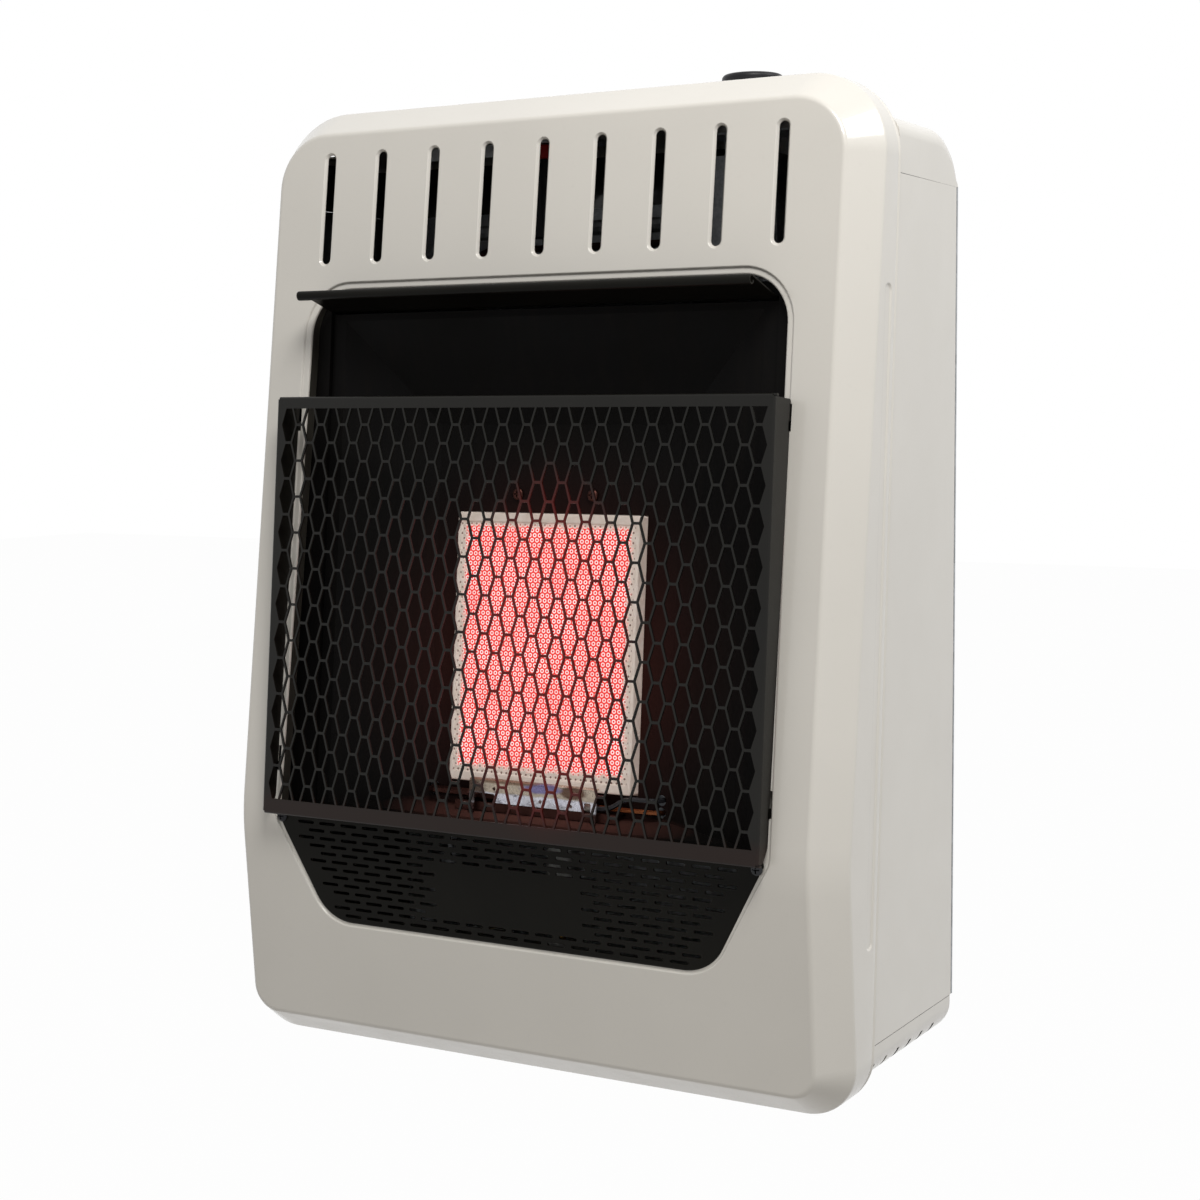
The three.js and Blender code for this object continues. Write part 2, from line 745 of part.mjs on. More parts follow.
function frontPanel() {
  const slope = Math.hypot(CHAMFER_WIDTH, CHAMFER_DEPTH);
  const faceMitre = SHEET * (slope - CHAMFER_WIDTH) / CHAMFER_DEPTH;
  const edgeMitre = SHEET * (slope - CHAMFER_DEPTH) / CHAMFER_WIDTH;
  const outside = loft([
    trayRing(0, CHAMFER_WIDTH),
    trayRing(CHAMFER_DEPTH, 0),
    trayRing(RETURN_DEPTH, 0),
  ]);
  const inside = loft([
    trayRing(SHEET, CHAMFER_WIDTH + faceMitre),
    trayRing(CHAMFER_DEPTH + edgeMitre, SHEET),
    trayRing(RETURN_DEPTH + OVERRUN, SHEET),
  ]);
  const tray = cut(outside, inside, plateY(openingOutline(SHEET / 2), -OVERRUN, OVERRUN));
  const flange = plateY(openingOutline(SHEET), 0, OPENING_FLANGE, [openingOutline(0)]);
  const slots = [];
  for (let i = 0; i < SLOT_COUNT; i += 1) {
    const x = (i - (SLOT_COUNT - 1) / 2) * SLOT_PITCH;
    slots.push(plateY(slotOutline(x, SLOT_BOTTOM, SLOT_TOP, SLOT_WIDTH), -OVERRUN, OVERRUN));
  }
  const sheet = bowed(cut(join(tray, flange), ...slots));
  const behindSeam = plateX(flat(
    [seamY(-OVERRUN), -OVERRUN],
    [OVERRUN, -OVERRUN],
    [OVERRUN, PANEL_HEIGHT + OVERRUN],
    [seamY(PANEL_HEIGHT + OVERRUN), PANEL_HEIGHT + OVERRUN],
  ), -PANEL_WIDTH, PANEL_WIDTH);
  const beadMiddle = -BEAD_SETBACK;
  const beadEnds = [BEAD_BOTTOM, BEAD_TOP];
  const bead = rounded(flat(
    [seamY(beadEnds[0]) + beadMiddle - BEAD_WIDTH / 2, beadEnds[0]],
    [seamY(beadEnds[0]) + beadMiddle + BEAD_WIDTH / 2, beadEnds[0]],
    [seamY(beadEnds[1]) + beadMiddle + BEAD_WIDTH / 2, beadEnds[1]],
    [seamY(beadEnds[1]) + beadMiddle - BEAD_WIDTH / 2, beadEnds[1]],
  ), Array(4).fill(BEAD_WIDTH / 2 - BEAD_SINK));
  const beads = [
    plateX(bead, HALF_WIDTH - BEAD_SINK, HALF_WIDTH + OVERRUN),
    plateX(bead, -HALF_WIDTH - OVERRUN, -HALF_WIDTH + BEAD_SINK),
  ];
  return cut(sheet, behindSeam, ...beads, ...hookSlots());
}

// Hooks of the guard: tongues that go through slots beside the opening's flange
function hookSlots() {
  hearth.updateMatrix();
  return HOOK_TONGUES.flatMap((foot) => {
    const bottom = faceHeight(foot) - GAP;
    const top = bottom + HOOK_TONGUE_HEIGHT + GUARD_LIFT + HOOK_CLEAR;
    const depth = faceDepth(foot);
    return [-1, 1].map((side) => {
      const near = side * (HOOK_X - HOOK_CLEAR);
      const far = side * (HOOK_X + GUARD_SHEET + HOOK_CLEAR);
      const low = Math.min(near, far);
      const high = Math.max(near, far);
      return box(low, high, depth - OVERRUN, depth + OVERRUN, bottom, top).applyMatrix4(hearth.matrix);
    });
  });
}

add(casing, "front_panel", "cream", frontPanel());

// Side panels, lapped behind the returns of the front panel

function sidePanel(side) {
  const lapBottom = SIDE_BOTTOM + SEAM_LAP;
  const lapTop = SIDE_TOP - SEAM_LAP;
  const outline = flat(
    [-SHEET - GAP, SIDE_BOTTOM],
    [-SHEET - GAP, SIDE_TOP],
    [seamY(SIDE_TOP) + GAP, SIDE_TOP],
    [seamY(lapTop) + GAP, lapTop],
    [seamY(lapTop) - SEAM_LAP, lapTop],
    [seamY(lapBottom) - SEAM_LAP, lapBottom],
    [seamY(lapBottom) + GAP, lapBottom],
    [seamY(SIDE_BOTTOM) + GAP, SIDE_BOTTOM],
  );
  const inner = side * (CASE_HALF_WIDTH - SHEET);
  const outer = side * CASE_HALF_WIDTH;
  const flange = side * (CASE_HALF_WIDTH - SIDE_FLANGE);
  const panel = plateX(outline, Math.min(inner, outer), Math.max(inner, outer));
  const rear = box(
    Math.min(flange, outer),
    Math.max(flange, outer),
    -2 * SHEET - GAP,
    -SHEET - GAP,
    SIDE_BOTTOM,
    SIDE_TOP,
  );
  return join(panel, rear);
}

add(casing, "side_panel_left", "cream", sidePanel(-1));
add(casing, "side_panel_right", "cream", sidePanel(1));

// Top cover with its cheeks, its rounded rear edge and the upstand behind the front panel

function coverProfile(by, bottom) {
  const corner = COVER_CORNER - by;
  const top = COVER_TOP - by;
  const outline = [new THREE.Vector2(seamY(bottom) + GAP, bottom), new THREE.Vector2(-by, bottom)];
  for (let step = 0; step <= COVER_STEPS; step += 1) {
    const angle = Math.PI / 2 * step / COVER_STEPS;
    outline.push(new THREE.Vector2(
      -COVER_CORNER + corner * Math.cos(angle),
      COVER_TOP - COVER_CORNER + corner * Math.sin(angle),
    ));
  }
  outline.push(new THREE.Vector2(seamY(top) + GAP, top));
  return outline;
}

function topCover() {
  const outside = plateX(coverProfile(0, SIDE_TOP + GAP), -CASE_HALF_WIDTH, CASE_HALF_WIDTH);
  const hollow = coverProfile(SHEET, SIDE_TOP - OVERRUN);
  hollow[0].x -= OVERRUN;
  hollow[hollow.length - 1].x -= OVERRUN;
  const inside = plateX(hollow, -CASE_HALF_WIDTH + SHEET, CASE_HALF_WIDTH - SHEET);
  const tongue = box(
    -UPSTAND_HALF_WIDTH,
    UPSTAND_HALF_WIDTH,
    -UPSTAND_DEPTH,
    seamY(COVER_TOP) + OVERRUN,
    COVER_TOP - SHEET,
    COVER_TOP,
  );
  const upstand = box(
    -UPSTAND_HALF_WIDTH,
    UPSTAND_HALF_WIDTH,
    -UPSTAND_DEPTH,
    -UPSTAND_DEPTH + SHEET,
    COVER_TOP - SHEET,
    UPSTAND_TOP,
  );
  const holes = [
    rod(VALVE_X, VALVE_Y, PLUG_NECK_RADIUS + SHEET, SIDE_TOP, PANEL_HEIGHT),
    rod(IGNITER_X, IGNITER_Y, IGNITER_RADIUS + ROUND_GAP, SIDE_TOP, PANEL_HEIGHT),
  ];
  return cut(join(cut(outside, inside), tongue, upstand), ...holes);
}

add(casing, "top_cover", "cream", topCover());

// Bottom pan with cooling-air slots across its rounded side edges

function panSolid(by, top, reach) {
  const half = CASE_HALF_WIDTH - by;
  const bottom = PAN_BOTTOM + by;
  const across = rounded(
    rectangle(-half, half, bottom, top),
    [PAN_EDGE - by, PAN_EDGE - by, 0, 0],
  );
  const along = rounded(flat(
    [seamY(SIDE_BOTTOM) + GAP, bottom],
    [-by, bottom],
    [-by, top],
    [seamY(SIDE_BOTTOM) + GAP, top],
  ), [0, PAN_REAR_EDGE - by, 0, 0]);
  along[0].x -= reach;
  along[along.length - 1].x -= reach;
  return common(plateY(across, -PAN_UPSTAND_DEPTH, 0), plateX(along, -half, half));
}

function bottomPan() {
  const top = SIDE_BOTTOM - GAP;
  const shell = cut(panSolid(0, top, 0), panSolid(SHEET, top + OVERRUN, OVERRUN));
  const tongue = box(
    -UPSTAND_HALF_WIDTH,
    UPSTAND_HALF_WIDTH,
    -PAN_UPSTAND_DEPTH,
    seamY(SIDE_BOTTOM) + OVERRUN,
    PAN_BOTTOM,
    PAN_BOTTOM + SHEET,
  );
  const upstand = box(
    -UPSTAND_HALF_WIDTH,
    UPSTAND_HALF_WIDTH,
    -PAN_UPSTAND_DEPTH,
    -PAN_UPSTAND_DEPTH + SHEET,
    PAN_BOTTOM,
    PAN_UPSTAND_TOP,
  );
  const tools = [rod(REGULATOR_X, REGULATOR_Y, INLET_RADIUS + SHEET, 0, SIDE_BOTTOM)];
  for (let i = 0; i < PAN_SLOTS; i += 1) {
    const y = -PAN_SLOT_REAR - i * PAN_SLOT_PITCH;
    [-1, 1].forEach((side) => {
      const inner = side * (CASE_HALF_WIDTH - PAN_SLOT_IN);
      const outer = side * (CASE_HALF_WIDTH + OVERRUN);
      tools.push(box(
        Math.min(inner, outer),
        Math.max(inner, outer),
        y - PAN_SLOT_WIDTH / 2,
        y + PAN_SLOT_WIDTH / 2,
        0,
        PAN_BOTTOM + PAN_SLOT_RISE,
      ));
    });
  }
  return cut(join(shell, tongue, upstand), ...tools);
}

add(casing, "bottom_pan", "cream", bottomPan());

// Back panel with two keyhole slots for hanging

function backPanel() {
  const outline = rectangle(-CASE_HALF_WIDTH, CASE_HALF_WIDTH, SIDE_BOTTOM, SIDE_TOP);
  const tools = [-1, 1].flatMap((side) => {
    const x = side * KEYHOLE_X;
    return [
      plateY(circle(x, HANG_HEIGHT, KEYHOLE_RADIUS), -OVERRUN, OVERRUN),
      plateY(slotOutline(x, HANG_HEIGHT, HANG_HEIGHT + KEYHOLE_RISE, 2 * KEYHOLE_NECK), -OVERRUN, OVERRUN),
    ];
  });
  return cut(plateY(outline, -SHEET, 0), ...tools);
}

add(casing, "back_panel", "galvanised", backPanel());

// Firebox shell

function shellOutline(by) {
  return rectangle(-SHELL_HALF_WIDTH - by, SHELL_HALF_WIDTH + by, SHELL_FLOOR - by, SHELL_TOP + by);
}

const shellFront = hearthDepth(faceY(OPENING_TOP) + OPENING_FLANGE, OPENING_TOP) + SHELL_ROOM;

function fireboxShell() {
  const walls = plateY(shellOutline(SHEET), shellFront, shellFront + SHELL_DEEP, [shellOutline(0)]);
  const half = SHELL_HALF_WIDTH + SHELL_FLANGE;
  const outline = rectangle(-half, half, SHELL_FLOOR - SHELL_FOOT_FLANGE, SHELL_TOP + SHELL_FOOT_FLANGE);
  const flange = plateY(outline, shellFront, shellFront + SHEET, [shellOutline(0)]);
  return join(walls, flange);
}

add(hearth, "firebox_shell", "black", fireboxShell());

function fireboxBracket(side) {
  const near = side * (SHELL_HALF_WIDTH + SHEET + GAP);
  const far = side * (CASE_HALF_WIDTH - SHEET - GAP);
  const front = depthAt(shellFront + SHEET, BRACKET_BOTTOM + BRACKET_HEIGHT) + BRACKET_ROOM;
  const web = front + BRACKET_ARM;
  const rear = web + BRACKET_FOOT;
  const outline = flat(
    [near, front],
    [near + side * SHEET, front],
    [near + side * SHEET, web - SHEET],
    [far, web - SHEET],
    [far, rear],
    [far - side * SHEET, rear],
    [far - side * SHEET, web],
    [near, web],
  );
  return plateZ(outline, BRACKET_BOTTOM, BRACKET_BOTTOM + BRACKET_HEIGHT);
}

add(casing, "firebox_bracket_left", "galvanised", fireboxBracket(-1));
add(casing, "firebox_bracket_right", "galvanised", fireboxBracket(1));

// Reflector: a rim, walls that taper back and a rear wall with a window for the plaque

function reflectorRing(depth, growth) {
  const share = (depth - RIM_DEPTH) / (BACK_DEPTH - RIM_DEPTH);
  const half = THREE.MathUtils.lerp(MOUTH_HALF_WIDTH, backHalfWidth, share);
  const bottom = THREE.MathUtils.lerp(MOUTH_BOTTOM, BACK_BOTTOM, share) - growth;
  const top = THREE.MathUtils.lerp(MOUTH_TOP, BACK_TOP, share);
  return rectangle(-half, half, bottom, top).map((p) => new THREE.Vector3(p.x, depth, p.y));
}

function shifted(ringPoints, by) {
  return ringPoints.map((point) => new THREE.Vector3(point.x, point.y + by, point.z));
}

function plaqueOutline(by) {
  const half = PLAQUE_WIDTH / 2 + by;
  const tall = PLAQUE_HEIGHT / 2 + by;
  return rectangle(-half, half, PLAQUE_CENTRE - tall, PLAQUE_CENTRE + tall);
}

// Holes over the plaque for the screws that hold the burner box to the reflector
function screwHoles(depth) {
  return [-SCREW_X, SCREW_X].map((x) => {
    const hole = circle(x, SCREW_HEIGHT, SCREW_SHANK + SHEET / 2, BAR_SIDES);
    return plateY(hole, depth - OVERRUN / 2, depth + OVERRUN / 2);
  });
}

function reflector() {
  const rimHalf = SHELL_HALF_WIDTH - GAP;
  const rim = plateY(
    rectangle(-rimHalf, rimHalf, SHELL_FLOOR + GAP, SHELL_TOP - GAP - 2 * SHEET),
    RIM_DEPTH,
    RIM_DEPTH + SHEET,
  );
  const body = loft([
    shifted(reflectorRing(RIM_DEPTH, SHEET), SHEET),
    shifted(reflectorRing(BACK_DEPTH, SHEET), SHEET),
  ]);
  const hollow = loft([reflectorRing(RIM_DEPTH - OVERRUN, 0), reflectorRing(BACK_DEPTH, 0)]);
  const tools = [
    hollow,
    plateY(plaqueOutline(PLAQUE_ROOM), BACK_DEPTH - OVERRUN, BACK_DEPTH + OVERRUN),
  ];
  LEAD_HOLE_HEIGHTS.forEach((height) => {
    const hole = circle(leadHoleX, height, LEAD_RADIUS + LEAD_HOLE_ROOM, BAR_SIDES);
    tools.push(plateY(hole, BACK_DEPTH - OVERRUN, BACK_DEPTH + OVERRUN));
  });
  const tubeHeight = CRADLE_TOP + GAP + PILOT_RADIUS;
  const tubeHole = circle(-leadHoleX, tubeHeight, PILOT_TUBE_RADIUS + LEAD_HOLE_ROOM, BAR_SIDES);
  tools.push(plateY(tubeHole, BACK_DEPTH - OVERRUN, BACK_DEPTH + OVERRUN));
  return cut(join(rim, body), ...tools, ...screwHoles(BACK_DEPTH));
}

add(hearth, "reflector", "black", reflector());

// A pan-head screw whose head faces the front
function screw(x, headRear, height) {
  const profile = [
    [0, -SCREW_LENGTH],
    [SCREW_SHANK, -SCREW_LENGTH],
    [SCREW_SHANK, 0],
    [SCREW_RADIUS, 0],
    [SCREW_RADIUS, SCREW_HEAD / 2],
    [SCREW_CROWN, SCREW_HEAD],
    [0, SCREW_HEAD],
  ];
  return turned(0, 0, profile, BAR_SIDES).rotateX(Math.PI / 2).translate(x, headRear, height);
}

add(hearth, "reflector_screw_left", "steel", screw(-SCREW_X, BACK_DEPTH - GAP, SCREW_HEIGHT));
add(hearth, "reflector_screw_right", "steel", screw(SCREW_X, BACK_DEPTH - GAP, SCREW_HEIGHT));

// Heat deflector: it lies under the top of the shell and rises to a rolled hem in front

function heatDeflector() {
  const under = SHELL_TOP - GAP - SHEET;
  const outline = flat(
    [DEFLECTOR_FRONT, DEFLECTOR_FRONT_HEIGHT - SHEET],
    [DEFLECTOR_BEND, under],
    [DEFLECTOR_REAR, under],
    [DEFLECTOR_REAR, under + SHEET],
    [DEFLECTOR_BEND, under + SHEET],
    [DEFLECTOR_FRONT, DEFLECTOR_FRONT_HEIGHT],
  );
  const sheet = plateX(outline, -DEFLECTOR_HALF_WIDTH, DEFLECTOR_HALF_WIDTH);
  const hemHeight = DEFLECTOR_FRONT_HEIGHT - DEFLECTOR_HEM;
  const half = DEFLECTOR_HALF_WIDTH;
  return join(sheet, barX(-half, half, DEFLECTOR_FRONT, hemHeight, DEFLECTOR_HEM));
}

add(hearth, "heat_deflector", "black", heatDeflector());

// Lower grille: fills the tapered foot of the opening and bends at the panel's kink

function louvreBlock(by, front, rear) {
  const below = box(-HALF_WIDTH, HALF_WIDTH, 0, OPENING_TOP, 0, LOUVRE_TOP - by);
  return common(plateY(openingOutline(-LOUVRE_ROOM - by), front, rear), below);
}

function louvreSlots() {
  const slots = [];
  const half = LOUVRE_SLOT_HEIGHT / 2;
  for (let row = 0; row < LOUVRE_ROWS; row += 1) {
    const z = LOUVRE_FIRST_ROW + row * LOUVRE_ROW_PITCH;
    const share = Math.min((z - half - OPENING_BOTTOM) / (OPENING_SHOULDER - OPENING_BOTTOM), 1);
    const reach = THREE.MathUtils.lerp(OPENING_FOOT_HALF_WIDTH, OPENING_HALF_WIDTH, share) - LOUVRE_MARGIN;
    const count = Math.floor(2 * reach / LOUVRE_SLOT_PITCH);
    for (let i = -count; i <= count; i += 1) {
      const x = (i + (row % 2) / 2) * LOUVRE_SLOT_PITCH;
      const clearOfSide = Math.abs(x) + LOUVRE_SLOT_LENGTH / 2 < reach;
      const bare = z > BARE_BOTTOM && z < BARE_TOP && Math.abs(x) < BARE_HALF_WIDTH;
      const screwReach = LOUVRE_SLOT_LENGTH / 2 + SCREW_ROOM;
      const byScrew = Math.abs(Math.abs(x) - LOUVRE_SCREW_X) < screwReach
        && Math.abs(z - LOUVRE_SCREW_HEIGHT) < LOUVRE_ROW_PITCH;
      if (clearOfSide && !bare && !byScrew) {
        slots.push(rectangle(x - LOUVRE_SLOT_LENGTH / 2, x + LOUVRE_SLOT_LENGTH / 2, z - half, z + half));
      }
    }
  }
  return slots;
}

function louvrePanel() {
  const block = louvreBlock(0, LOUVRE_SINK, LOUVRE_SINK + LOUVRE_FLANGE);
  const hollow = louvreBlock(SHEET, LOUVRE_SINK + SHEET, LOUVRE_SINK + LOUVRE_FLANGE + OVERRUN);
  const tools = [hollow, platesY(louvreSlots(), 0, LOUVRE_SINK + OVERRUN)];
  [-LOUVRE_SCREW_X, LOUVRE_SCREW_X].forEach((x) => {
    const hole = circle(x, LOUVRE_SCREW_HEIGHT, SCREW_SHANK + SHEET / 2, BAR_SIDES);
    tools.push(plateY(hole, 0, LOUVRE_SINK + OVERRUN));
  });
  return bowed(cut(block, ...tools));
}

add(casing, "louvre_panel", "black", louvrePanel());

const louvreScrewDepth = faceY(LOUVRE_SCREW_HEIGHT) + LOUVRE_SINK - 2 * GAP;
add(casing, "louvre_screw_left", "steel", screw(-LOUVRE_SCREW_X, louvreScrewDepth, LOUVRE_SCREW_HEIGHT));
add(casing, "louvre_screw_right", "steel", screw(LOUVRE_SCREW_X, louvreScrewDepth, LOUVRE_SCREW_HEIGHT));

// Ceramic plaque, its gasket and the burner box behind it

function ceramicPlaque() {
  const block = plateY(plaqueOutline(0), PLAQUE_FRONT, PLAQUE_FRONT + PLAQUE_THICK);
  const sink = plateY(plaqueOutline(-PLAQUE_RIM), PLAQUE_FRONT - OVERRUN, PLAQUE_FRONT + PLAQUE_SINK);
  return cut(block, sink);
}

add(hearth, "ceramic_plaque", "ceramic", ceramicPlaque());

const gasketFront = PLAQUE_FRONT + PLAQUE_THICK + GAP;
const gasketRear = gasketFront + GASKET_THICK;
const burnerFront = BACK_DEPTH + SHEET + GAP;
const burnerBottom = PLAQUE_CENTRE - PLAQUE_HEIGHT / 2 - PLAQUE_ROOM - BURNER_SHEET;

add(hearth, "plaque_gasket", "fibre", plateY(
  plaqueOutline(0),
  gasketFront,
  gasketRear,
  [plaqueOutline(-GASKET_BAR)],
));

function burnerBox() {
  const inner = plaqueOutline(PLAQUE_ROOM);
  const flange = plaqueOutline(PLAQUE_ROOM + BURNER_FLANGE);
  flange[2].y = PLAQUE_CENTRE + PLAQUE_HEIGHT / 2 + BURNER_TOP_FLANGE;
  flange[3].y = flange[2].y;
  const outer = plaqueOutline(PLAQUE_ROOM + BURNER_SHEET);
  const rear = burnerFront + BURNER_DEEP;
  const ledgeFront = gasketRear + GAP;
  const throat = VENTURI_THROAT + VENTURI_WALL + ROUND_GAP;
  return cut(
    join(
      plateY(flange, burnerFront, burnerFront + BURNER_SHEET, [inner]),
      plateY(outer, burnerFront, rear, [inner]),
      plateY(outer, rear - BURNER_SHEET, rear),
      plateY(outer, ledgeFront, ledgeFront + BURNER_SHEET, [plaqueOutline(-LEDGE_WIDTH)]),
    ),
    rod(0, VENTURI_DEPTH, throat, burnerBottom - OVERRUN, burnerBottom + OVERRUN),
    ...screwHoles(burnerFront),
  );
}

add(hearth, "burner_box", "aluminised", burnerBox());

function venturiTube() {
  const inside = VENTURI_THROAT;
  const outside = VENTURI_THROAT + VENTURI_WALL;
  const collarTop = burnerBottom - GAP;
  const flareTop = VENTURI_BOTTOM + VENTURI_FLARE;
  return turned(0, VENTURI_DEPTH, [
    [inside, burnerBottom + VENTURI_INSERT],
    [inside, flareTop],
    [VENTURI_MOUTH, VENTURI_BOTTOM],
    [VENTURI_MOUTH + VENTURI_WALL, VENTURI_BOTTOM],
    [outside, flareTop],
    [outside, collarTop - VENTURI_WALL],
    [outside + VENTURI_COLLAR, collarTop - VENTURI_WALL],
    [outside + VENTURI_COLLAR, collarTop],
    [outside, collarTop],
    [outside, burnerBottom + VENTURI_INSERT],
    [inside, burnerBottom + VENTURI_INSERT],
  ]);
}

add(hearth, "venturi_tube", "aluminised", venturiTube());

// Carrier that holds the injector under the mouth of the venturi

function injectorCarrier() {
  const inner = VENTURI_MOUTH + VENTURI_WALL + GAP;
  const outer = inner + SHEET;
  const outline = flat(
    [-outer, INJECTOR_CARRIER_TOP],
    [-outer, INJECTOR_CARRIER_BOTTOM],
    [outer, INJECTOR_CARRIER_BOTTOM],
    [outer, INJECTOR_CARRIER_TOP],
    [inner, INJECTOR_CARRIER_TOP],
    [inner, INJECTOR_CARRIER_BOTTOM + SHEET],
    [-inner, INJECTOR_CARRIER_BOTTOM + SHEET],
    [-inner, INJECTOR_CARRIER_TOP],
  );
  const near = VENTURI_DEPTH - INJECTOR_CARRIER_DEEP / 2;
  const strap = plateY(outline, near, near + INJECTOR_CARRIER_DEEP);
  const below = INJECTOR_CARRIER_BOTTOM - OVERRUN;
  const hole = rod(0, VENTURI_DEPTH, INJECTOR_NOSE + ROUND_GAP, below, INJECTOR_TOP);
  return cut(strap, hole);
}

add(hearth, "injector_carrier", "aluminised", injectorCarrier());

const injectorShoulder = INJECTOR_CARRIER_BOTTOM - GAP;
const injectorBottom = injectorShoulder - INJECTOR_LENGTH;

add(hearth, "gas_injector", "brass", turned(0, VENTURI_DEPTH, [
  [0, injectorBottom],
  [INJECTOR_RADIUS, injectorBottom],
  [INJECTOR_RADIUS, injectorShoulder],
  [INJECTOR_NOSE, injectorShoulder],
  [INJECTOR_NOSE, INJECTOR_TOP - INJECTOR_NOSE_HEIGHT / 2],
  [INJECTOR_TIP, INJECTOR_TOP],
  [INJECTOR_BORE, INJECTOR_TOP],
  [INJECTOR_BORE, INJECTOR_TOP - INJECTOR_NOSE_HEIGHT],
  [0, INJECTOR_TOP - INJECTOR_NOSE_HEIGHT],
]));

// Pilot group under the plaque

function floorHeight(depth) {
  return THREE.MathUtils.mapLinear(depth, RIM_DEPTH, BACK_DEPTH, MOUTH_BOTTOM, BACK_BOTTOM);
}

function pilotShield() {
  const rear = SHIELD_DEPTH + SHEET;
  const plate = box(-SHIELD_HALF_WIDTH, SHIELD_HALF_WIDTH, SHIELD_DEPTH, rear, SHIELD_BOTTOM, SHIELD_TOP);
  const feet = [-1, 1].map((side) => {
    const near = side * (SHIELD_HALF_WIDTH - SHIELD_FOOT);
    const far = side * SHIELD_HALF_WIDTH;
    const foot = floorHeight(rear) + ROUND_GAP;
    return box(Math.min(near, far), Math.max(near, far), SHIELD_DEPTH, rear, foot, SHIELD_TOP);
  });
  return join(plate, ...feet);
}

add(hearth, "pilot_shield", "galvanised", pilotShield());

function pilotBracket() {
  const underside = CRADLE_TOP - SHEET;
  const plate = box(-cradleHalfWidth, cradleHalfWidth, CRADLE_FRONT, CRADLE_REAR, underside, CRADLE_TOP);
  const foot = floorHeight(CRADLE_FRONT + SHEET) + ROUND_GAP;
  const rail = box(
    -cradleHalfWidth,
    cradleHalfWidth,
    CRADLE_FRONT,
    CRADLE_FRONT + SHEET,
    foot,
    CRADLE_TOP,
  );
  return join(plate, rail);
}

add(hearth, "pilot_bracket", "galvanised", pilotBracket());

const onCradle = CRADLE_TOP + GAP;

function pilotBurner() {
  const axis = onCradle + PILOT_RADIUS;
  const bar = barX(PILOT_LEFT, PILOT_RIGHT, PILOT_DEPTH, axis, PILOT_RADIUS);
  const port = barX(
    PILOT_RIGHT - PILOT_RADIUS,
    PILOT_RIGHT + OVERRUN,
    PILOT_DEPTH,
    axis,
    PILOT_PORT_RADIUS,
  );
  return cut(bar, port);
}

add(hearth, "pilot_burner", "brass", pilotBurner());

const thermocoupleHeight = onCradle + THERMOCOUPLE_RADIUS;
const electrodeHeight = onCradle + ELECTRODE_RADIUS;
add(hearth, "thermocouple", "copper", barX(
  THERMOCOUPLE_LEFT,
  PROBE_RIGHT,
  THERMOCOUPLE_DEPTH,
  thermocoupleHeight,
  THERMOCOUPLE_RADIUS,
));

function sparkElectrode() {
  const sleeve = barX(ELECTRODE_LEFT, PROBE_RIGHT, ELECTRODE_DEPTH, electrodeHeight, ELECTRODE_RADIUS);
  const pin = barX(
    ELECTRODE_LEFT - ELECTRODE_PIN,
    ELECTRODE_LEFT + OVERRUN,
    ELECTRODE_DEPTH,
    electrodeHeight,
    ELECTRODE_PIN_RADIUS,
    PIN_SIDES,
  );
  return join(sleeve, pin);
}

add(hearth, "spark_electrode", "porcelain", sparkElectrode());

// Regulator, its stand and the inlet fitting

const regulatorTop = REGULATOR_BOTTOM + REGULATOR_HEIGHT;

add(casing, "regulator", "aluminium", turned(REGULATOR_X, REGULATOR_Y, [
  [0, REGULATOR_BOTTOM],
  [REGULATOR_END_RADIUS, REGULATOR_BOTTOM],
  [REGULATOR_RADIUS, REGULATOR_BOTTOM + REGULATOR_SHOULDER],
  [REGULATOR_RADIUS, regulatorTop - REGULATOR_SHOULDER],
  [REGULATOR_END_RADIUS, regulatorTop],
  [REGULATOR_CAP_RADIUS, regulatorTop],
  [REGULATOR_CAP_RADIUS, regulatorTop + REGULATOR_CAP_HEIGHT],
  [0, regulatorTop + REGULATOR_CAP_HEIGHT],
]));

function regulatorStand() {
  const top = REGULATOR_BOTTOM - GAP;
  const foot = PAN_BOTTOM + SHEET + GAP;
  const half = REGULATOR_STAND_HALF_WIDTH;
  const rear = REGULATOR_Y + REGULATOR_STAND_REACH;
  const table = box(
    REGULATOR_X - half,
    REGULATOR_X + half,
    REGULATOR_Y - half,
    rear,
    top - SHEET,
    top,
  );
  const leg = box(REGULATOR_X - half, REGULATOR_X + half, rear - SHEET, rear, foot, top);
  const toe = box(REGULATOR_X - half, REGULATOR_X + half, rear - half / 2, rear, foot, foot + SHEET);
  const hole = rod(REGULATOR_X, REGULATOR_Y, INLET_RADIUS + ROUND_GAP, foot, REGULATOR_BOTTOM + OVERRUN);
  return cut(join(table, leg, toe), hole);
}

add(casing, "regulator_stand", "galvanised", regulatorStand());

function inletFitting() {
  const top = REGULATOR_BOTTOM - GAP;
  const nutBottom = PAN_BOTTOM + SHEET + OVERRUN;
  const body = turned(REGULATOR_X, REGULATOR_Y, [
    [0, top],
    [INLET_RADIUS, top],
    [INLET_RADIUS, INLET_BOTTOM],
    [INLET_BORE, INLET_BOTTOM],
    [INLET_BORE, PAN_BOTTOM],
    [0, PAN_BOTTOM],
  ]);
  const nutTop = nutBottom + INLET_NUT_HEIGHT;
  const nut = rod(REGULATOR_X, REGULATOR_Y, INLET_NUT_RADIUS, nutBottom, nutTop, HEX_SIDES);
  return join(body, nut);
}

add(casing, "inlet_fitting", "brass", inletFitting());

// Gas valve under the knob

const valveLeft = VALVE_X - VALVE_WIDTH / 2;
const valveRight = VALVE_X + VALVE_WIDTH / 2;

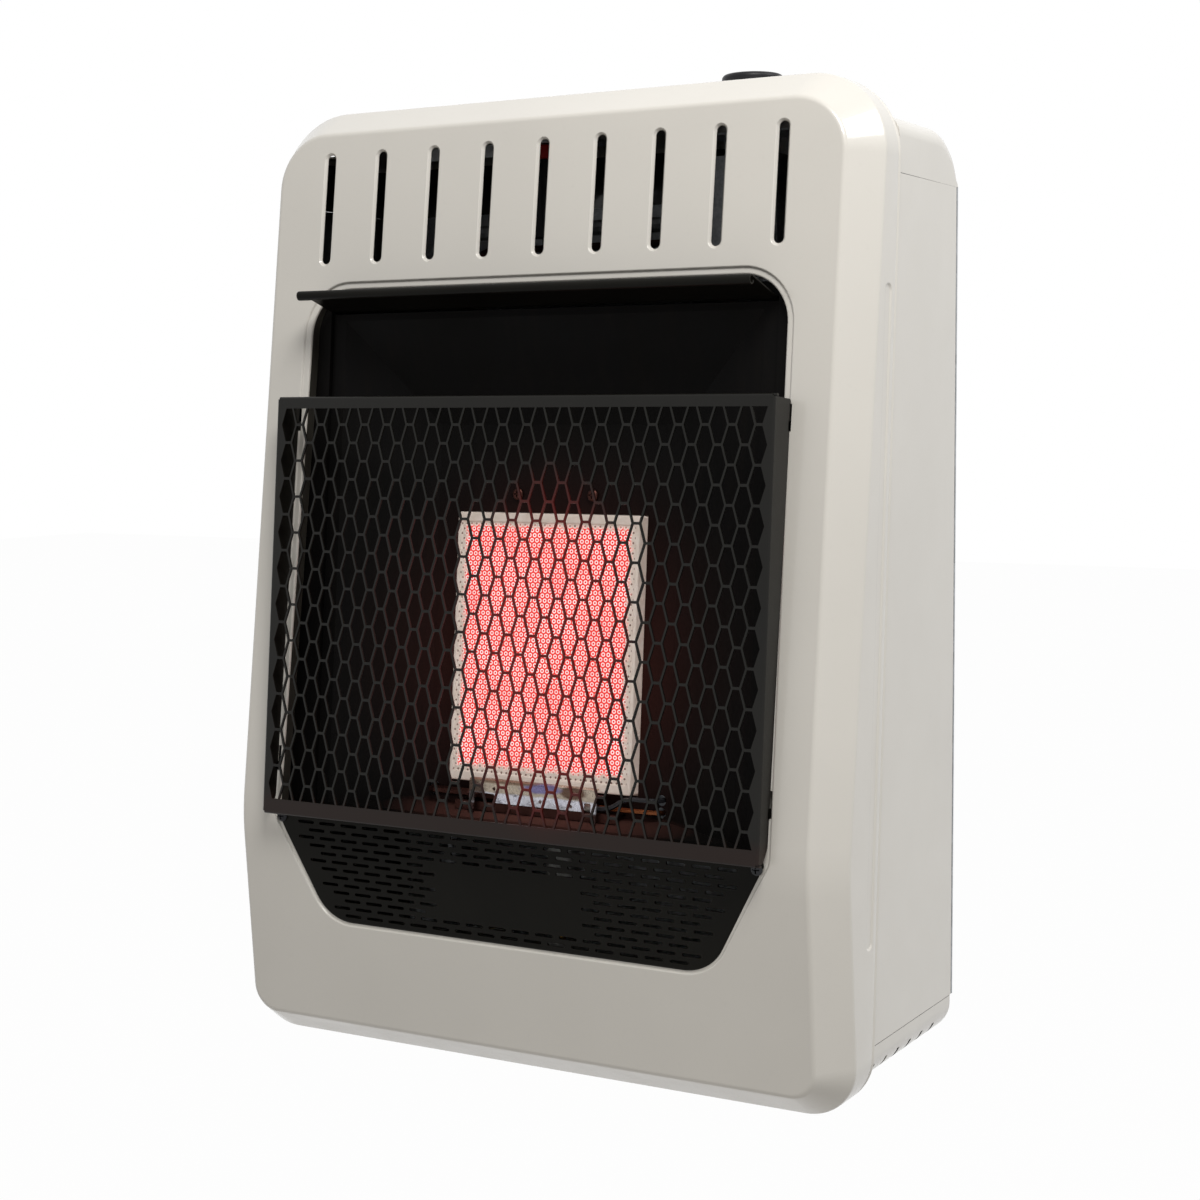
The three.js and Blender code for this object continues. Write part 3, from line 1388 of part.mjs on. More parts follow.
function gasValveBody() {
  const half = VALVE_DEEP / 2;
  const outline = rounded(
    rectangle(valveLeft, valveRight, VALVE_Y - half, VALVE_Y + half),
    [VALVE_CORNER, VALVE_CORNER, VALVE_CORNER, VALVE_CORNER],
    SLOT_STEPS,
  );
  const bore = rod(VALVE_X, VALVE_Y, PLUG_RADIUS + RUNNING_GAP, PLUG_BOTTOM - GAP, VALVE_TOP + OVERRUN);
  return cut(plateZ(outline, VALVE_BOTTOM, VALVE_TOP), bore);
}

add(casing, "gas_valve_body", "aluminium", gasValveBody());

function valveBracket() {
  const half = VALVE_DEEP / 2;
  const top = COVER_TOP - SHEET - GAP;
  const rear = VALVE_Y + half + GAP;
  const table = box(
    valveLeft - VALVE_PLATE_REACH,
    valveRight + VALVE_PLATE_REACH,
    VALVE_Y - half / 2,
    rear + SHEET,
    top - SHEET,
    top,
  );
  const leg = box(
    valveLeft - VALVE_PLATE_REACH,
    valveRight + VALVE_PLATE_REACH,
    rear,
    rear + SHEET,
    top - VALVE_PLATE_DROP,
    top,
  );
  const hole = rod(VALVE_X, VALVE_Y, PLUG_NECK_RADIUS + SHEET, VALVE_TOP, COVER_TOP);
  return cut(join(table, leg), hole);
}

add(casing, "valve_bracket", "galvanised", valveBracket());

add(casing, "valve_plug", "brass", turned(VALVE_X, VALVE_Y, [
  [0, PLUG_BOTTOM],
  [PLUG_RADIUS, PLUG_BOTTOM],
  [PLUG_RADIUS, PLUG_SHOULDER],
  [PLUG_NECK_RADIUS, PLUG_SHOULDER],
  [PLUG_NECK_RADIUS, PLUG_NECK_TOP],
  [STEM_RADIUS + RUNNING_GAP, PLUG_NECK_TOP],
  [STEM_RADIUS + RUNNING_GAP, PLUG_BORE_BOTTOM],
  [0, PLUG_BORE_BOTTOM],
]));

const stemTop = KNOB_TOP - KNOB_WALL - GAP;

add(casing, "valve_stem", "steel", rod(VALVE_X, VALVE_Y, STEM_RADIUS, STEM_BOTTOM, stemTop, BAR_SIDES));

function controlKnob() {
  const inside = KNOB_RADIUS - KNOB_WALL;
  const ceiling = KNOB_TOP - KNOB_WALL;
  return turned(VALVE_X, VALVE_Y, [
    [0, ceiling],
    [STEM_RADIUS + ROUND_GAP, ceiling],
    [STEM_RADIUS + ROUND_GAP, KNOB_HUB_BOTTOM],
    [KNOB_HUB, KNOB_HUB_BOTTOM],
    [KNOB_HUB, ceiling],
    [inside, ceiling],
    [inside, KNOB_BOTTOM],
    [KNOB_RADIUS, KNOB_BOTTOM],
    [KNOB_RADIUS, KNOB_TOP - KNOB_CROWN],
    [KNOB_RADIUS - KNOB_EASE, KNOB_TOP - KNOB_EASE],
    [KNOB_RADIUS - KNOB_CROWN, KNOB_TOP],
    [0, KNOB_TOP],
  ], KNOB_SIDES);
}

add(casing, "control_knob", "plastic", controlKnob());

// Igniter with its push button, its red nut and the plate it is clamped through

const clampTop = COVER_TOP - 2 * SHEET - 2 * GAP;

add(casing, "igniter_body", "plastic", turned(IGNITER_X, IGNITER_Y, [
  [0, IGNITER_BOTTOM],
  [IGNITER_RADIUS, IGNITER_BOTTOM],
  [IGNITER_RADIUS, COVER_TOP + GAP],
  [IGNITER_HEAD_RADIUS, COVER_TOP + GAP],
  [IGNITER_HEAD_RADIUS, COVER_TOP + GAP + IGNITER_HEAD],
  [BUTTON_RADIUS + RUNNING_GAP, COVER_TOP + GAP + IGNITER_HEAD],
  [BUTTON_RADIUS + RUNNING_GAP, BUTTON_BOTTOM - BUTTON_TRAVEL - GAP],
  [0, BUTTON_BOTTOM - BUTTON_TRAVEL - GAP],
]));

add(casing, "igniter_button", "plastic", turned(IGNITER_X, IGNITER_Y, [
  [0, BUTTON_BOTTOM],
  [BUTTON_RADIUS, BUTTON_BOTTOM],
  [BUTTON_RADIUS, BUTTON_TOP - BUTTON_EDGE],
  [BUTTON_RADIUS - BUTTON_EDGE, BUTTON_TOP],
  [0, BUTTON_TOP],
]));

add(casing, "igniter_nut", "red", ring(
  IGNITER_X,
  IGNITER_Y,
  IGNITER_NUT_RADIUS,
  IGNITER_RADIUS + ROUND_GAP,
  clampTop - IGNITER_NUT,
  clampTop,
));

function blankPlate() {
  const top = COVER_TOP - SHEET - GAP;
  const table = box(PLATE_LEFT, PLATE_RIGHT, -PLATE_DEPTH, -PLATE_REAR, top - SHEET, top);
  const left = box(
    PLATE_LEFT,
    IGNITER_X - PLATE_NOTCH,
    -PLATE_DEPTH,
    -PLATE_DEPTH + SHEET,
    PLATE_BOTTOM,
    top,
  );
  const right = box(
    IGNITER_X + PLATE_NOTCH,
    PLATE_RIGHT,
    -PLATE_DEPTH,
    -PLATE_DEPTH + SHEET,
    PLATE_BOTTOM,
    top,
  );
  const hole = rod(IGNITER_X, IGNITER_Y, IGNITER_RADIUS + ROUND_GAP, SIDE_TOP, COVER_TOP);
  return cut(join(table, left, right), hole);
}

add(casing, "blank_plate", "galvanised", blankPlate());

// Tubes and leads

add(casing, "inlet_gas_tube", "aluminium", tube([
  [REGULATOR_X, REGULATOR_Y, regulatorTop + REGULATOR_CAP_HEIGHT + GAP],
  [REGULATOR_X, REGULATOR_Y, VALVE_PORT_HEIGHTS[1]],
  [valveLeft - GAP, REGULATOR_Y, VALVE_PORT_HEIGHTS[1]],
], TUBE_RADIUS, TUBE_BEND));

const injectorPort = fromHearth(INJECTOR_RADIUS + GAP, VENTURI_DEPTH, injectorShoulder - INJECTOR_LENGTH / 2);

add(casing, "burner_gas_tube", "aluminium", tube([
  [BURNER_PORT_X, VALVE_Y, VALVE_BOTTOM - GAP],
  [BURNER_PORT_X, VALVE_Y, injectorPort[2]],
  [BURNER_PORT_X, injectorPort[1], injectorPort[2]],
  injectorPort,
], TUBE_RADIUS, TUBE_BEND));

add(casing, "pilot_gas_tube", "aluminium", tube([
  fromHearth(PILOT_LEFT - GAP, PILOT_DEPTH, onCradle + PILOT_RADIUS),
  fromHearth(-leadHoleX, PILOT_DEPTH, onCradle + PILOT_RADIUS),
  fromHearth(-leadHoleX, LEAD_RUN_DEPTH, onCradle + PILOT_RADIUS),
  [-leadHoleX, VALVE_PORT_Y, VALVE_PORT_HEIGHTS[0]],
  [valveLeft - GAP, VALVE_PORT_Y, VALVE_PORT_HEIGHTS[0]],
], PILOT_TUBE_RADIUS, LEAD_BEND, LEAD_SIDES));

add(casing, "thermocouple_lead", "copper", tube([
  fromHearth(PROBE_RIGHT + GAP, THERMOCOUPLE_DEPTH, thermocoupleHeight),
  fromHearth(leadHoleX, THERMOCOUPLE_DEPTH, thermocoupleHeight),
  fromHearth(leadHoleX, LEAD_RUN_DEPTH + LEAD_RUN_SPACING, thermocoupleHeight),
  [LEAD_PORT_X, LEAD_PORT_Y, VALVE_BOTTOM - LEAD_DROP],
  [LEAD_PORT_X, LEAD_PORT_Y, VALVE_BOTTOM - GAP],
], LEAD_RADIUS, LEAD_BEND, LEAD_SIDES));

add(casing, "igniter_lead", "wire", tube([
  fromHearth(PROBE_RIGHT + GAP, ELECTRODE_DEPTH, electrodeHeight),
  fromHearth(PROBE_RIGHT + LEAD_STRAIGHT, ELECTRODE_DEPTH, electrodeHeight),
  fromHearth(PROBE_RIGHT + LEAD_RISE_END, ELECTRODE_DEPTH, LEAD_HOLE_HEIGHTS[1]),
  fromHearth(leadHoleX, ELECTRODE_DEPTH, LEAD_HOLE_HEIGHTS[1]),
  fromHearth(leadHoleX, LEAD_RUN_DEPTH, LEAD_HOLE_HEIGHTS[1]),
  [leadHoleX, IGNITER_Y, IGNITER_BOTTOM - LEAD_DROP],
  [IGNITER_X, IGNITER_Y, IGNITER_BOTTOM - LEAD_DROP],
  [IGNITER_X, IGNITER_Y, IGNITER_BOTTOM - GAP],
], LEAD_RADIUS, LEAD_BEND, LEAD_SIDES));

// Guard: a folded sheet whose front is expanded to a hexagonal mesh

function meshHoles() {
  const left = -GUARD_WIDTH / 2 + GUARD_SIDE_STRIP;
  const right = GUARD_WIDTH / 2 - GUARD_SIDE_STRIP;
  const bottom = GUARD_FOOT_STRIP;
  const top = GUARD_HEIGHT - GUARD_TOP_STRIP;
  const pitch = (right - left) / MESH_COLUMNS;
  const rise = (top - bottom) / MESH_ROWS;
  const link = pitch * MESH_LINK_SHARE / 2;
  const waist = pitch / 2 - link;
  const hexagon = grown(flat(
    [waist, 0],
    [link, rise],
    [-link, rise],
    [-waist, 0],
    [-link, -rise],
    [link, -rise],
  ), -MESH_STRAND / 2);
  const outlines = [];
  for (let row = 0; row <= MESH_ROWS; row += 1) {
    const odd = row % 2;
    for (let column = 0; column + 1 - odd <= MESH_COLUMNS; column += 1) {
      const centre = new THREE.Vector2(left + (column + (1 - odd) / 2) * pitch, bottom + row * rise);
      outlines.push(hexagon.map((point) => point.clone().add(centre)));
    }
  }
  return common(
    platesY(outlines, -OVERRUN, OVERRUN),
    box(left, right, -OVERRUN, OVERRUN, bottom, top),
  );
}

function guard() {
  const half = GUARD_WIDTH / 2;
  const flange = flat(
    [0, 0],
    [GUARD_FOOT_FLANGE, 0],
    [GUARD_FLANGE, GUARD_FOOT_SLOPE],
    [GUARD_FLANGE, GUARD_HEIGHT],
    [0, GUARD_HEIGHT],
  );
  const parts = [
    box(-half, half, 0, GUARD_SHEET, 0, GUARD_HEIGHT),
    box(-half, half, 0, GUARD_HEM, GUARD_HEIGHT - GUARD_SHEET, GUARD_HEIGHT),
    box(-half, half, 0, GUARD_HEM, 0, GUARD_SHEET),
  ];
  [-1, 1].forEach((side) => {
    const inner = side * (half - GUARD_SHEET);
    const outer = side * half;
    parts.push(plateX(flange, Math.min(inner, outer), Math.max(inner, outer)));
    HOOK_TONGUES.forEach((tongue, i) => {
      const foot = faceHeight(tongue);
      const top = foot + HOOK_TONGUE_HEIGHT;
      const armBottom = faceHeight(HOOK_ARMS[i]);
      const armTop = Math.max(armBottom + HOOK_ARM_HEIGHT, top);
      const front = faceDepth(tongue) - HOOK_CLEAR - GUARD_SHEET;
      const leg = faceDepth(tongue + HOOK_TONGUE_HEIGHT) + SHEET + HOOK_CLEAR;
      const outline = flat(
        [front, foot],
        [leg, foot],
        [leg, foot - HOOK_LEG],
        [leg + 2 * GUARD_SHEET, foot - HOOK_LEG],
        [leg + 2 * GUARD_SHEET, top],
        [front + GUARD_SHEET, top],
        [front + GUARD_SHEET, armTop],
        [front, armTop],
      );
      const near = side * HOOK_X;
      const far = side * (HOOK_X + GUARD_SHEET);
      parts.push(plateX(outline, Math.min(near, far), Math.max(near, far)));
      const lowX = Math.min(inner, far);
      const highX = Math.max(inner, far);
      parts.push(box(lowX, highX, front, front + GUARD_SHEET, armBottom, armTop));
    });
  });
  return cut(join(...parts), meshHoles());
}

add(hearth, "guard", "black", guard());

heater.position.z = -HANG_HEIGHT;

export default heater;
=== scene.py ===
import math

import bmesh
import bpy
import numpy as np
from bpy.props import FloatProperty, FloatVectorProperty, IntProperty, PointerProperty
from mathutils import Matrix, Vector
from mathutils.geometry import delaunay_2d_cdt


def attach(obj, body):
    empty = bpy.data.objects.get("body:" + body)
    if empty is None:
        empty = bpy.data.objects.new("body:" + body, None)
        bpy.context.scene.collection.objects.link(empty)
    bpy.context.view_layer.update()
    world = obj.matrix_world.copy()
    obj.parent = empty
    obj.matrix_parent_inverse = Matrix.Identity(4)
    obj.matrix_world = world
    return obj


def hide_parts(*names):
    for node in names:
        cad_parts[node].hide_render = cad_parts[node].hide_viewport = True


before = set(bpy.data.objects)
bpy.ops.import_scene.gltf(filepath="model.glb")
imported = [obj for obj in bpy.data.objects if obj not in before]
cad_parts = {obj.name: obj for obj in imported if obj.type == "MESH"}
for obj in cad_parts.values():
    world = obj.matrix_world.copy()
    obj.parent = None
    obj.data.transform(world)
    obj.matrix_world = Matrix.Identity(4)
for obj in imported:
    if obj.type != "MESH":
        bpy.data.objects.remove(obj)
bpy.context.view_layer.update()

bl_info = {
    "name": "Infrared plaque heater",
    "version": (1, 0, 0),
    "blender": (4, 5, 0),
    "location": "3D View > Sidebar > Heater",
    "description": "Visible pieces, finishes and studio of a wall-hung infrared plaque heater",
    "category": "Add Mesh",
}

# Sizes in millimetres: X to the right, Y into the wall, Z from the panel's lower edge.
# Those that the photograph shows better than the CAD model follow the photograph.
HANG_HEIGHT = 470
PANEL_WIDTH = 416
PANEL_HEIGHT = 580
SHEET = 1.2
GAP = 0.3
TOP_DEPTH = 134
KINK_DEPTH = 185.3
BOTTOM_DEPTH = 174.5
KINK_HEIGHT = 142
CHAMFER_WIDTH = 15.5
CHAMFER_DEPTH = 21.3
UPPER_SLOPE = (KINK_DEPTH - TOP_DEPTH) / (PANEL_HEIGHT - CHAMFER_WIDTH - KINK_HEIGHT)
LOWER_SLOPE = (BOTTOM_DEPTH - KINK_DEPTH) / (KINK_HEIGHT - CHAMFER_WIDTH)
TOP_CORNER = 48
BOTTOM_CORNER = 31
SEAM_TOP_DEPTH = 95.4
SEAM_BOTTOM_DEPTH = 127
SIDE_TOP = 523.6
SIDE_BOTTOM = 35.5
SEAM_LAP = 10
SIDE_FLANGE = 12
SEAM_HEM = [(0, -4.2), (0.7, -2.9), (0.7, -2.5), (0, -1.2), (0, -0.5), (0.4, 0)]
HALF_WIDTH = PANEL_WIDTH / 2
CASE_HALF_WIDTH = HALF_WIDTH - SHEET - GAP
RECESS = [
    (-132.4, 77), (132.4, 77), (170.6, 145.3), (167.6, 472.4), (-167.6, 472.4), (-170.6, 145.3),
]
RECESS_FOOT_CORNER = 31
RECESS_RADII = [RECESS_FOOT_CORNER, RECESS_FOOT_CORNER, 18, 33, 33, 18]
RECESS_WIDTH = 5.4
RECESS_DEPTH = 1.5
RECESS_INNER_BEND = 0.8
OPENING_FLANGE = 10
SLOT_COUNT = 9
SLOT_PITCH = 38.7
SLOT_WIDTH = 6.1
SLOT_BOTTOM = 483.5
SLOT_TOP = 551.3
SLOT_LIP = [(1, 0), (0.85, 0.05), (0.72, 0.16), (0.16, 0.8), (0.04, 0.95), (0, 1.05), (0, 1.25)]
BEAD_WIDTH = 10
BEAD_DEPTH = 0.9
BEAD_SETBACK = 13
BEAD_BOTTOM = 92
BEAD_TOP = 462
BEAD_STEPS = [(0, 0), (-0.5, 0.12), (-1.2, 0.75), (-1.7, BEAD_DEPTH)]
COVER_TOP = 556.5
COVER_CORNER = 31
UPSTAND_HALF_WIDTH = 160
UPSTAND_DEPTH = 112
UPSTAND_TOP = 570
PAN_BOTTOM = 13.5
PAN_UPSTAND_DEPTH = 140
PAN_UPSTAND_TOP = 30
PAN_SLOTS = 6
PAN_SLOT_PITCH = 18.6
PAN_SLOT_WIDTH = 3.4
PAN_SLOT_REAR = 29
PAN_SLOT_IN = 38
PAN_SLOT_FOOT = 4.5
PAN_SLOT_RISE = 10.5
CASING_MIDDLE = (0, -90, 300)
# Depths behind the face and under the cover's top beyond which the sheets' inner sides get a dark
# painted shade
INNER_SHADE_DEPTH = 3.2
INNER_SHADE_DROP = 3
INLET_X = -118
INLET_Y = -62
INLET_HOLE = 13.2
VALVE_X = 104.6
VALVE_Y = -70
IGNITER_X = -30
IGNITER_Y = -85
STEM_HOLE = 6.7
IGNITER_HOLE = 8.85
LEAN = math.radians(4.75007)
FOOT_DEPTH = 196.5
FOOT_HEIGHT = 145.9
GUARD_FOOT_FLANGE_TOP = 10
GUARD_HALF_WIDTH = 168.3
GUARD_HEIGHT = 256
GUARD_FOOT_FLANGE = 6
GUARD_HEM = 5
GUARD_BORDER = 3.6
NET_FOOT = 9.4
NET_HEAD = 7.2
NET_ROWS = 24
NET_COLUMNS = 20
NET_FIRST_ROW = 249.9
NET_FIRST_COLUMN = -150.7
HOOK_TONGUES = [380.3, 170.5]
HOOK_TONGUE_HEIGHT = 5.5
HOOK_LEG = 7
HOOK_CLEAR = 0.6
GUARD_LIFT = 9
DEFLECTOR_HALF_WIDTH = 153
DEFLECTOR_PATH = [(54, 312.7), (30, 312.7), (-2, 320.3)]
DEFLECTOR_HEM = 2.9
GRILLE_SINK = 0.4
GRILLE_ROOM = 2.4
GRILLE_TOP = 147
GRILLE_CORNER = 5
GRILLE_EDGE = 1.4
GRILLE_MARGIN = 9.5
GRILLE_FIRST_ROW = 84
GRILLE_SCREW_X = 162
GRILLE_SCREW_Z = 142.6
GRILLE_SCREWS = [(-GRILLE_SCREW_X, GRILLE_SCREW_Z), (GRILLE_SCREW_X, GRILLE_SCREW_Z)]
SCREW_HOLE = 2.4
BURNER_SCREW_X = 26
BURNER_SCREW_SEAT = 56
BURNER_SCREW_HEIGHT = 201
BARE_HALF_WIDTH = 48
BARE_BOTTOM = 92
BARE_TOP = 122
PLAQUE_HALF_WIDTH = 63
PLAQUE_BOTTOM = 26.4
PLAQUE_TOP = 189.4
PLAQUE_FRONT = 47
PLAQUE_THICK = 14
PLAQUE_SIDE_RIM = 2.2
PLAQUE_END_RIM = 5.2
PLAQUE_SINK = 0.8
SHIELD_FRONT = 41
SHIELD_HALF_WIDTH = 44
SHIELD_TOP = 27.8
KNOB_RADIUS = 18.2
KNOB_FOOT = 564.5
KNOB_TOP = 588.5
BUTTON_RADIUS = 5.6
BUTTON_FOOT = 538
BARREL_RADIUS = 8.5
NUT_HOLE = 8.85
NUT_RADIUS = 13
NUT_FOOT = 545.3
NUT_TOP = 553.8

# Place and lens of the camera, fitted to the photograph
CAMERA_PLACE = (653.7, -1219.4, 391.7)
CAMERA_YAW = math.radians(29.64)
CAMERA_PITCH = math.radians(3.95)
CAMERA_TILT = math.radians(-0.23)
CAMERA_LENS = 63.864
CAMERA_SHIFT = -0.0352
FLOOR_HALF_WIDTH = 8.0
FLOOR_DROP = 300
FLOOR_WHITE = 0.98
FLOOR_COLOUR = (0.45, 0.43, 0.4, 1)
LAMP_AIM = (0, -0.15, -0.2)

# Steps of the round shapes
WELD = 4e-6
BEND_STEPS = 5
CORNER_STEPS = 14
KINK_STEPS = 7


# Places and outlines


def metres(length):
    return length / 1000


def at(x, y, z):
    """A place in the frame from its millimetres above the panel's lower edge."""
    return Vector((x, y, z - HANG_HEIGHT)) / 1000


def between(low, high, key, low_value, high_value):
    return low_value + (high_value - low_value) * (key - low) / (high - low)


def face_y(z):
    """Where the front panel's face lies at a height, with an easy bend at its kink."""
    bend = bpy.context.scene.heater_sizes.kink_bend * 1000
    over_kink = z - KINK_HEIGHT
    if over_kink >= bend:
        return -KINK_DEPTH + UPPER_SLOPE * over_kink
    eased = max(over_kink + bend, 0) ** 2 / (4 * bend)
    return -KINK_DEPTH + LOWER_SLOPE * over_kink + (UPPER_SLOPE - LOWER_SLOPE) * eased


def seam_y(z):
    """Where the seam between the front panel and a side panel lies at a height."""
    return between(SIDE_BOTTOM, SIDE_TOP, z, -SEAM_BOTTOM_DEPTH, -SEAM_TOP_DEPTH)


def on_face(outlines, depths):
    """Outlines laid at their depths behind the front panel's face."""
    return [[(x, face_y(z) + depth, z) for x, z in ring] for ring, depth in zip(outlines, depths)]


def kink_heights():
    """The heights at which the bowed sheets are folded a little."""
    bend = bpy.context.scene.heater_sizes.kink_bend * 1000
    return [KINK_HEIGHT + bend * (2 * step / (KINK_STEPS - 1) - 1) for step in range(KINK_STEPS)]


def on_hearth(x, behind, along):
    """A point of the leaning hearth, from its depth behind the guard and its height along it."""
    y = -FOOT_DEPTH + behind * math.cos(LEAN) + along * math.sin(LEAN)
    z = FOOT_HEIGHT - behind * math.sin(LEAN) + along * math.cos(LEAN)
    return (x, y, z)


def face_on_hearth(z):
    """Depth behind the guard, and height along it, of the front panel's face at a height."""
    forward = -KINK_DEPTH + UPPER_SLOPE * (z - KINK_HEIGHT) + FOOT_DEPTH
    rise = z - FOOT_HEIGHT
    behind = forward * math.cos(LEAN) - rise * math.sin(LEAN)
    along = forward * math.sin(LEAN) + rise * math.cos(LEAN)
    return behind, along


def rounded(corners, radii, steps=BEND_STEPS):
    """An outline whose corners are arcs; a corner of radius 0 stays sharp."""
    outline = []
    for i, radius in enumerate(radii):
        corner = Vector(corners[i])
        if radius == 0:
            outline.append(corner)
            continue
        back = (Vector(corners[i - 1]) - corner).normalized()
        ahead = (Vector(corners[(i + 1) % len(corners)]) - corner).normalized()
        half = back.angle(ahead) / 2
        centre = corner + (back + ahead).normalized() * radius / math.sin(half)
        spoke = corner + back * radius / math.tan(half) - centre
        side = math.copysign(1, ahead.x * back.y - ahead.y * back.x)
        for step in range(steps + 1):
            turn = side * (math.pi - 2 * half) * step / steps
            outline.append(Matrix.Rotation(turn, 2) @ spoke + centre)
    return outline


def grown(corners, by):
    """An anticlockwise outline whose sides are moved outward."""
    result = []
    for i, corner in enumerate(corners):
        corner = Vector(corner)
        before = (corner - Vector(corners[i - 1])).normalized()
        after = (Vector(corners[(i + 1) % len(corners)]) - corner).normalized()
        out_before = Vector((before.y, -before.x))
        out_after = Vector((after.y, -after.x))
        result.append(corner + (out_before + out_after) * by / (1 + out_before.dot(out_after)))
    return result


def rectangle(low_x, high_x, low_y, high_y):
    return [(low_x, low_y), (high_x, low_y), (high_x, high_y), (low_x, high_y)]


def recess_outline(by):
    return rounded(grown(RECESS, by), [radius + by for radius in RECESS_RADII], CORNER_STEPS)


def circle(x, y, radius, sides=40):
    turns = [2 * math.pi * i / sides for i in range(sides)]
    return [Vector((x + radius * math.cos(turn), y + radius * math.sin(turn))) for turn in turns]


def clipped(outline, low, high, axis):
    """The part of a convex outline between two limits of X (axis 0) or Z (axis 1)."""
    for limit, side in ((low, 1), (high, -1)):
        kept = []
        for i, point in enumerate(outline):
            back = outline[i - 1]
            inside = side * (point[axis] - limit) >= 0
            if inside != (side * (back[axis] - limit) >= 0):
                kept.append(back.lerp(point, (limit - back[axis]) / (point[axis] - back[axis])))
            if inside:
                kept.append(point)
        outline = kept
        if not outline:
            return []
    return outline


def with_folds(rings, heights):
    """Gives every ring a point where the first ring crosses a height, so a fold runs straight."""
    guide = rings[0]
    result = [[] for ring in rings]
    for i, point in enumerate(guide):
        ahead = guide[(i + 1) % len(guide)]
        low, high = min(point.y, ahead.y), max(point.y, ahead.y)
        crossed = sorted((h for h in heights if low < h < high), reverse=ahead.y < point.y)
        for ring, folded in zip(rings, result):
            folded.append(ring[i])
            for height in crossed:
                share = (height - point.y) / (ahead.y - point.y)
                folded.append(ring[i].lerp(ring[(i + 1) % len(ring)], share))
    return result


def roll(radius, steps=BEND_STEPS):
    """Pairs of outward growth and depth that lead from a face round a rolled lip."""
    turns = [math.pi / 2 * step / steps for step in range(steps + 1)]
    return [(radius * (1 - math.sin(turn)), radius * (1 - math.cos(turn))) for turn in turns]


# Sheets and solids


def placed(name, data):
    """A new object of the scene."""
    thing = bpy.data.objects.new(name, data)
    bpy.context.scene.collection.objects.link(thing)
    return thing


class Skin:
    """The faces of a piece in the making; its points are in millimetres."""

    def __init__(self):
        self.points = []
        self.faces = []

    def strip(self, *rows, closed=True):
        """Joins rows of equally many points by bands of faces."""
        for near, far in zip(rows, rows[1:]):
            count = len(near)
            start = len(self.points)
            self.points += [*near, *far]
            for i in range(count if closed else count - 1):
                j = (i + 1) % count
                self.faces.append((start + i, start + j, start + count + j, start + count + i))

    def across(self, half, path, place=lambda x, y, z: (x, y, z)):
        """Draws a path straight across the heater, to both sides of its middle."""
        rows = [[place(-half, *point), place(half, *point)] for point in path]
        self.strip(*rows, closed=False)

    def patch(self, loops, place, folds=()):
        """Fills an outline round its holes and puts every point in its place."""
        points = [Vector((point[0], point[1])) for loop in loops for point in loop]
        edges = []
        for loop in loops:
            start = len(edges)
            edges += [(start + i, start + (i + 1) % len(loop)) for i in range(len(loop))]
        ends = np.array([[*points[a], *points[b]] for a, b in edges])
        reach = max(abs(point.x) for point in points) + 1
        for fold in folds:
            edges.append((len(points), len(points) + 1))
            points += [Vector((-reach, fold)), Vector((reach, fold))]
        found, _, triangles, _, _, _ = delaunay_2d_cdt(points, edges, [], 0, 1e-6)
        flat = np.array([(point.x, point.y) for point in found])
        corners = np.array(triangles)
        middles = flat[corners].mean(axis=1)
        crossings = np.zeros(len(middles), dtype=int)
        for x0, z0, x1, z1 in ends:
            if z0 == z1:
                continue
            spans = (middles[:, 1] > min(z0, z1)) & (middles[:, 1] <= max(z0, z1))
            edge_x = x0 + (x1 - x0) * (middles[:, 1] - z0) / (z1 - z0)
            crossings += spans & (edge_x > middles[:, 0])
        start = len(self.points)
        self.points += [place(point.x, point.y) for point in found]
        for i in np.flatnonzero(crossings % 2):
            self.faces.append(tuple(int(c) + start for c in corners[i]))

    def piece(self, name, outward):
        """Makes the object; its largest face looks outward."""
        mesh = bpy.data.meshes.new(name)
        mesh.from_pydata([at(*point) for point in self.points], [], self.faces)
        shape = bmesh.new()
        shape.from_mesh(mesh)
        bmesh.ops.remove_doubles(shape, verts=shape.verts, dist=WELD)
        bmesh.ops.dissolve_degenerate(shape, edges=shape.edges, dist=WELD)
        loose = [vert for vert in shape.verts if not vert.link_faces]
        bmesh.ops.delete(shape, geom=loose, context="VERTS")
        bmesh.ops.recalc_face_normals(shape, faces=shape.faces)
        largest = max(shape.faces, key=lambda face: face.calc_area())
        if largest.normal.dot(Vector(outward)) < 0:
            bmesh.ops.reverse_faces(shape, faces=shape.faces)
        shape.to_mesh(mesh)
        shape.free()
        return placed(name, mesh)


def turn_outward(mesh):
    """Makes the faces of a closed mesh look outward."""
    shape = bmesh.new()
    shape.from_mesh(mesh)
    bmesh.ops.recalc_face_normals(shape, faces=shape.faces)
    shape.to_mesh(mesh)
    shape.free()


def fix(piece):
    """Keeps the result of the piece's modifiers as its mesh."""
    view = bpy.context.evaluated_depsgraph_get()
    mesh = bpy.data.meshes.new_from_object(piece.evaluated_get(view))
    piece.modifiers.clear()
    piece.data = mesh
    mesh.name = piece.name


def settle(piece, thick=0.0, edge=0.0, smooth=40):
    """Gives a piece its sheet thickness and eased edges, and shades it evenly."""
    if thick:
        sheet = piece.modifiers.new("sheet", "SOLIDIFY")
        sheet.thickness = metres(thick)
        sheet.offset = -1
        sheet.use_even_offset = True
        sheet.use_quality_normals = True
    if edge:
        ease = piece.modifiers.new("eased edges", "BEVEL")
        ease.width = metres(edge)
        ease.segments = 2
        ease.limit_method = "ANGLE"
        ease.angle_limit = math.radians(smooth)
        ease.use_clamp_overlap = True
    if piece.modifiers:
        fix(piece)
    piece.data.shade_smooth()
    piece.data.set_sharp_from_angle(angle=math.radians(smooth))
    even = piece.modifiers.new("even shading", "WEIGHTED_NORMAL")
    even.keep_sharp = True
    fix(piece)
    return piece


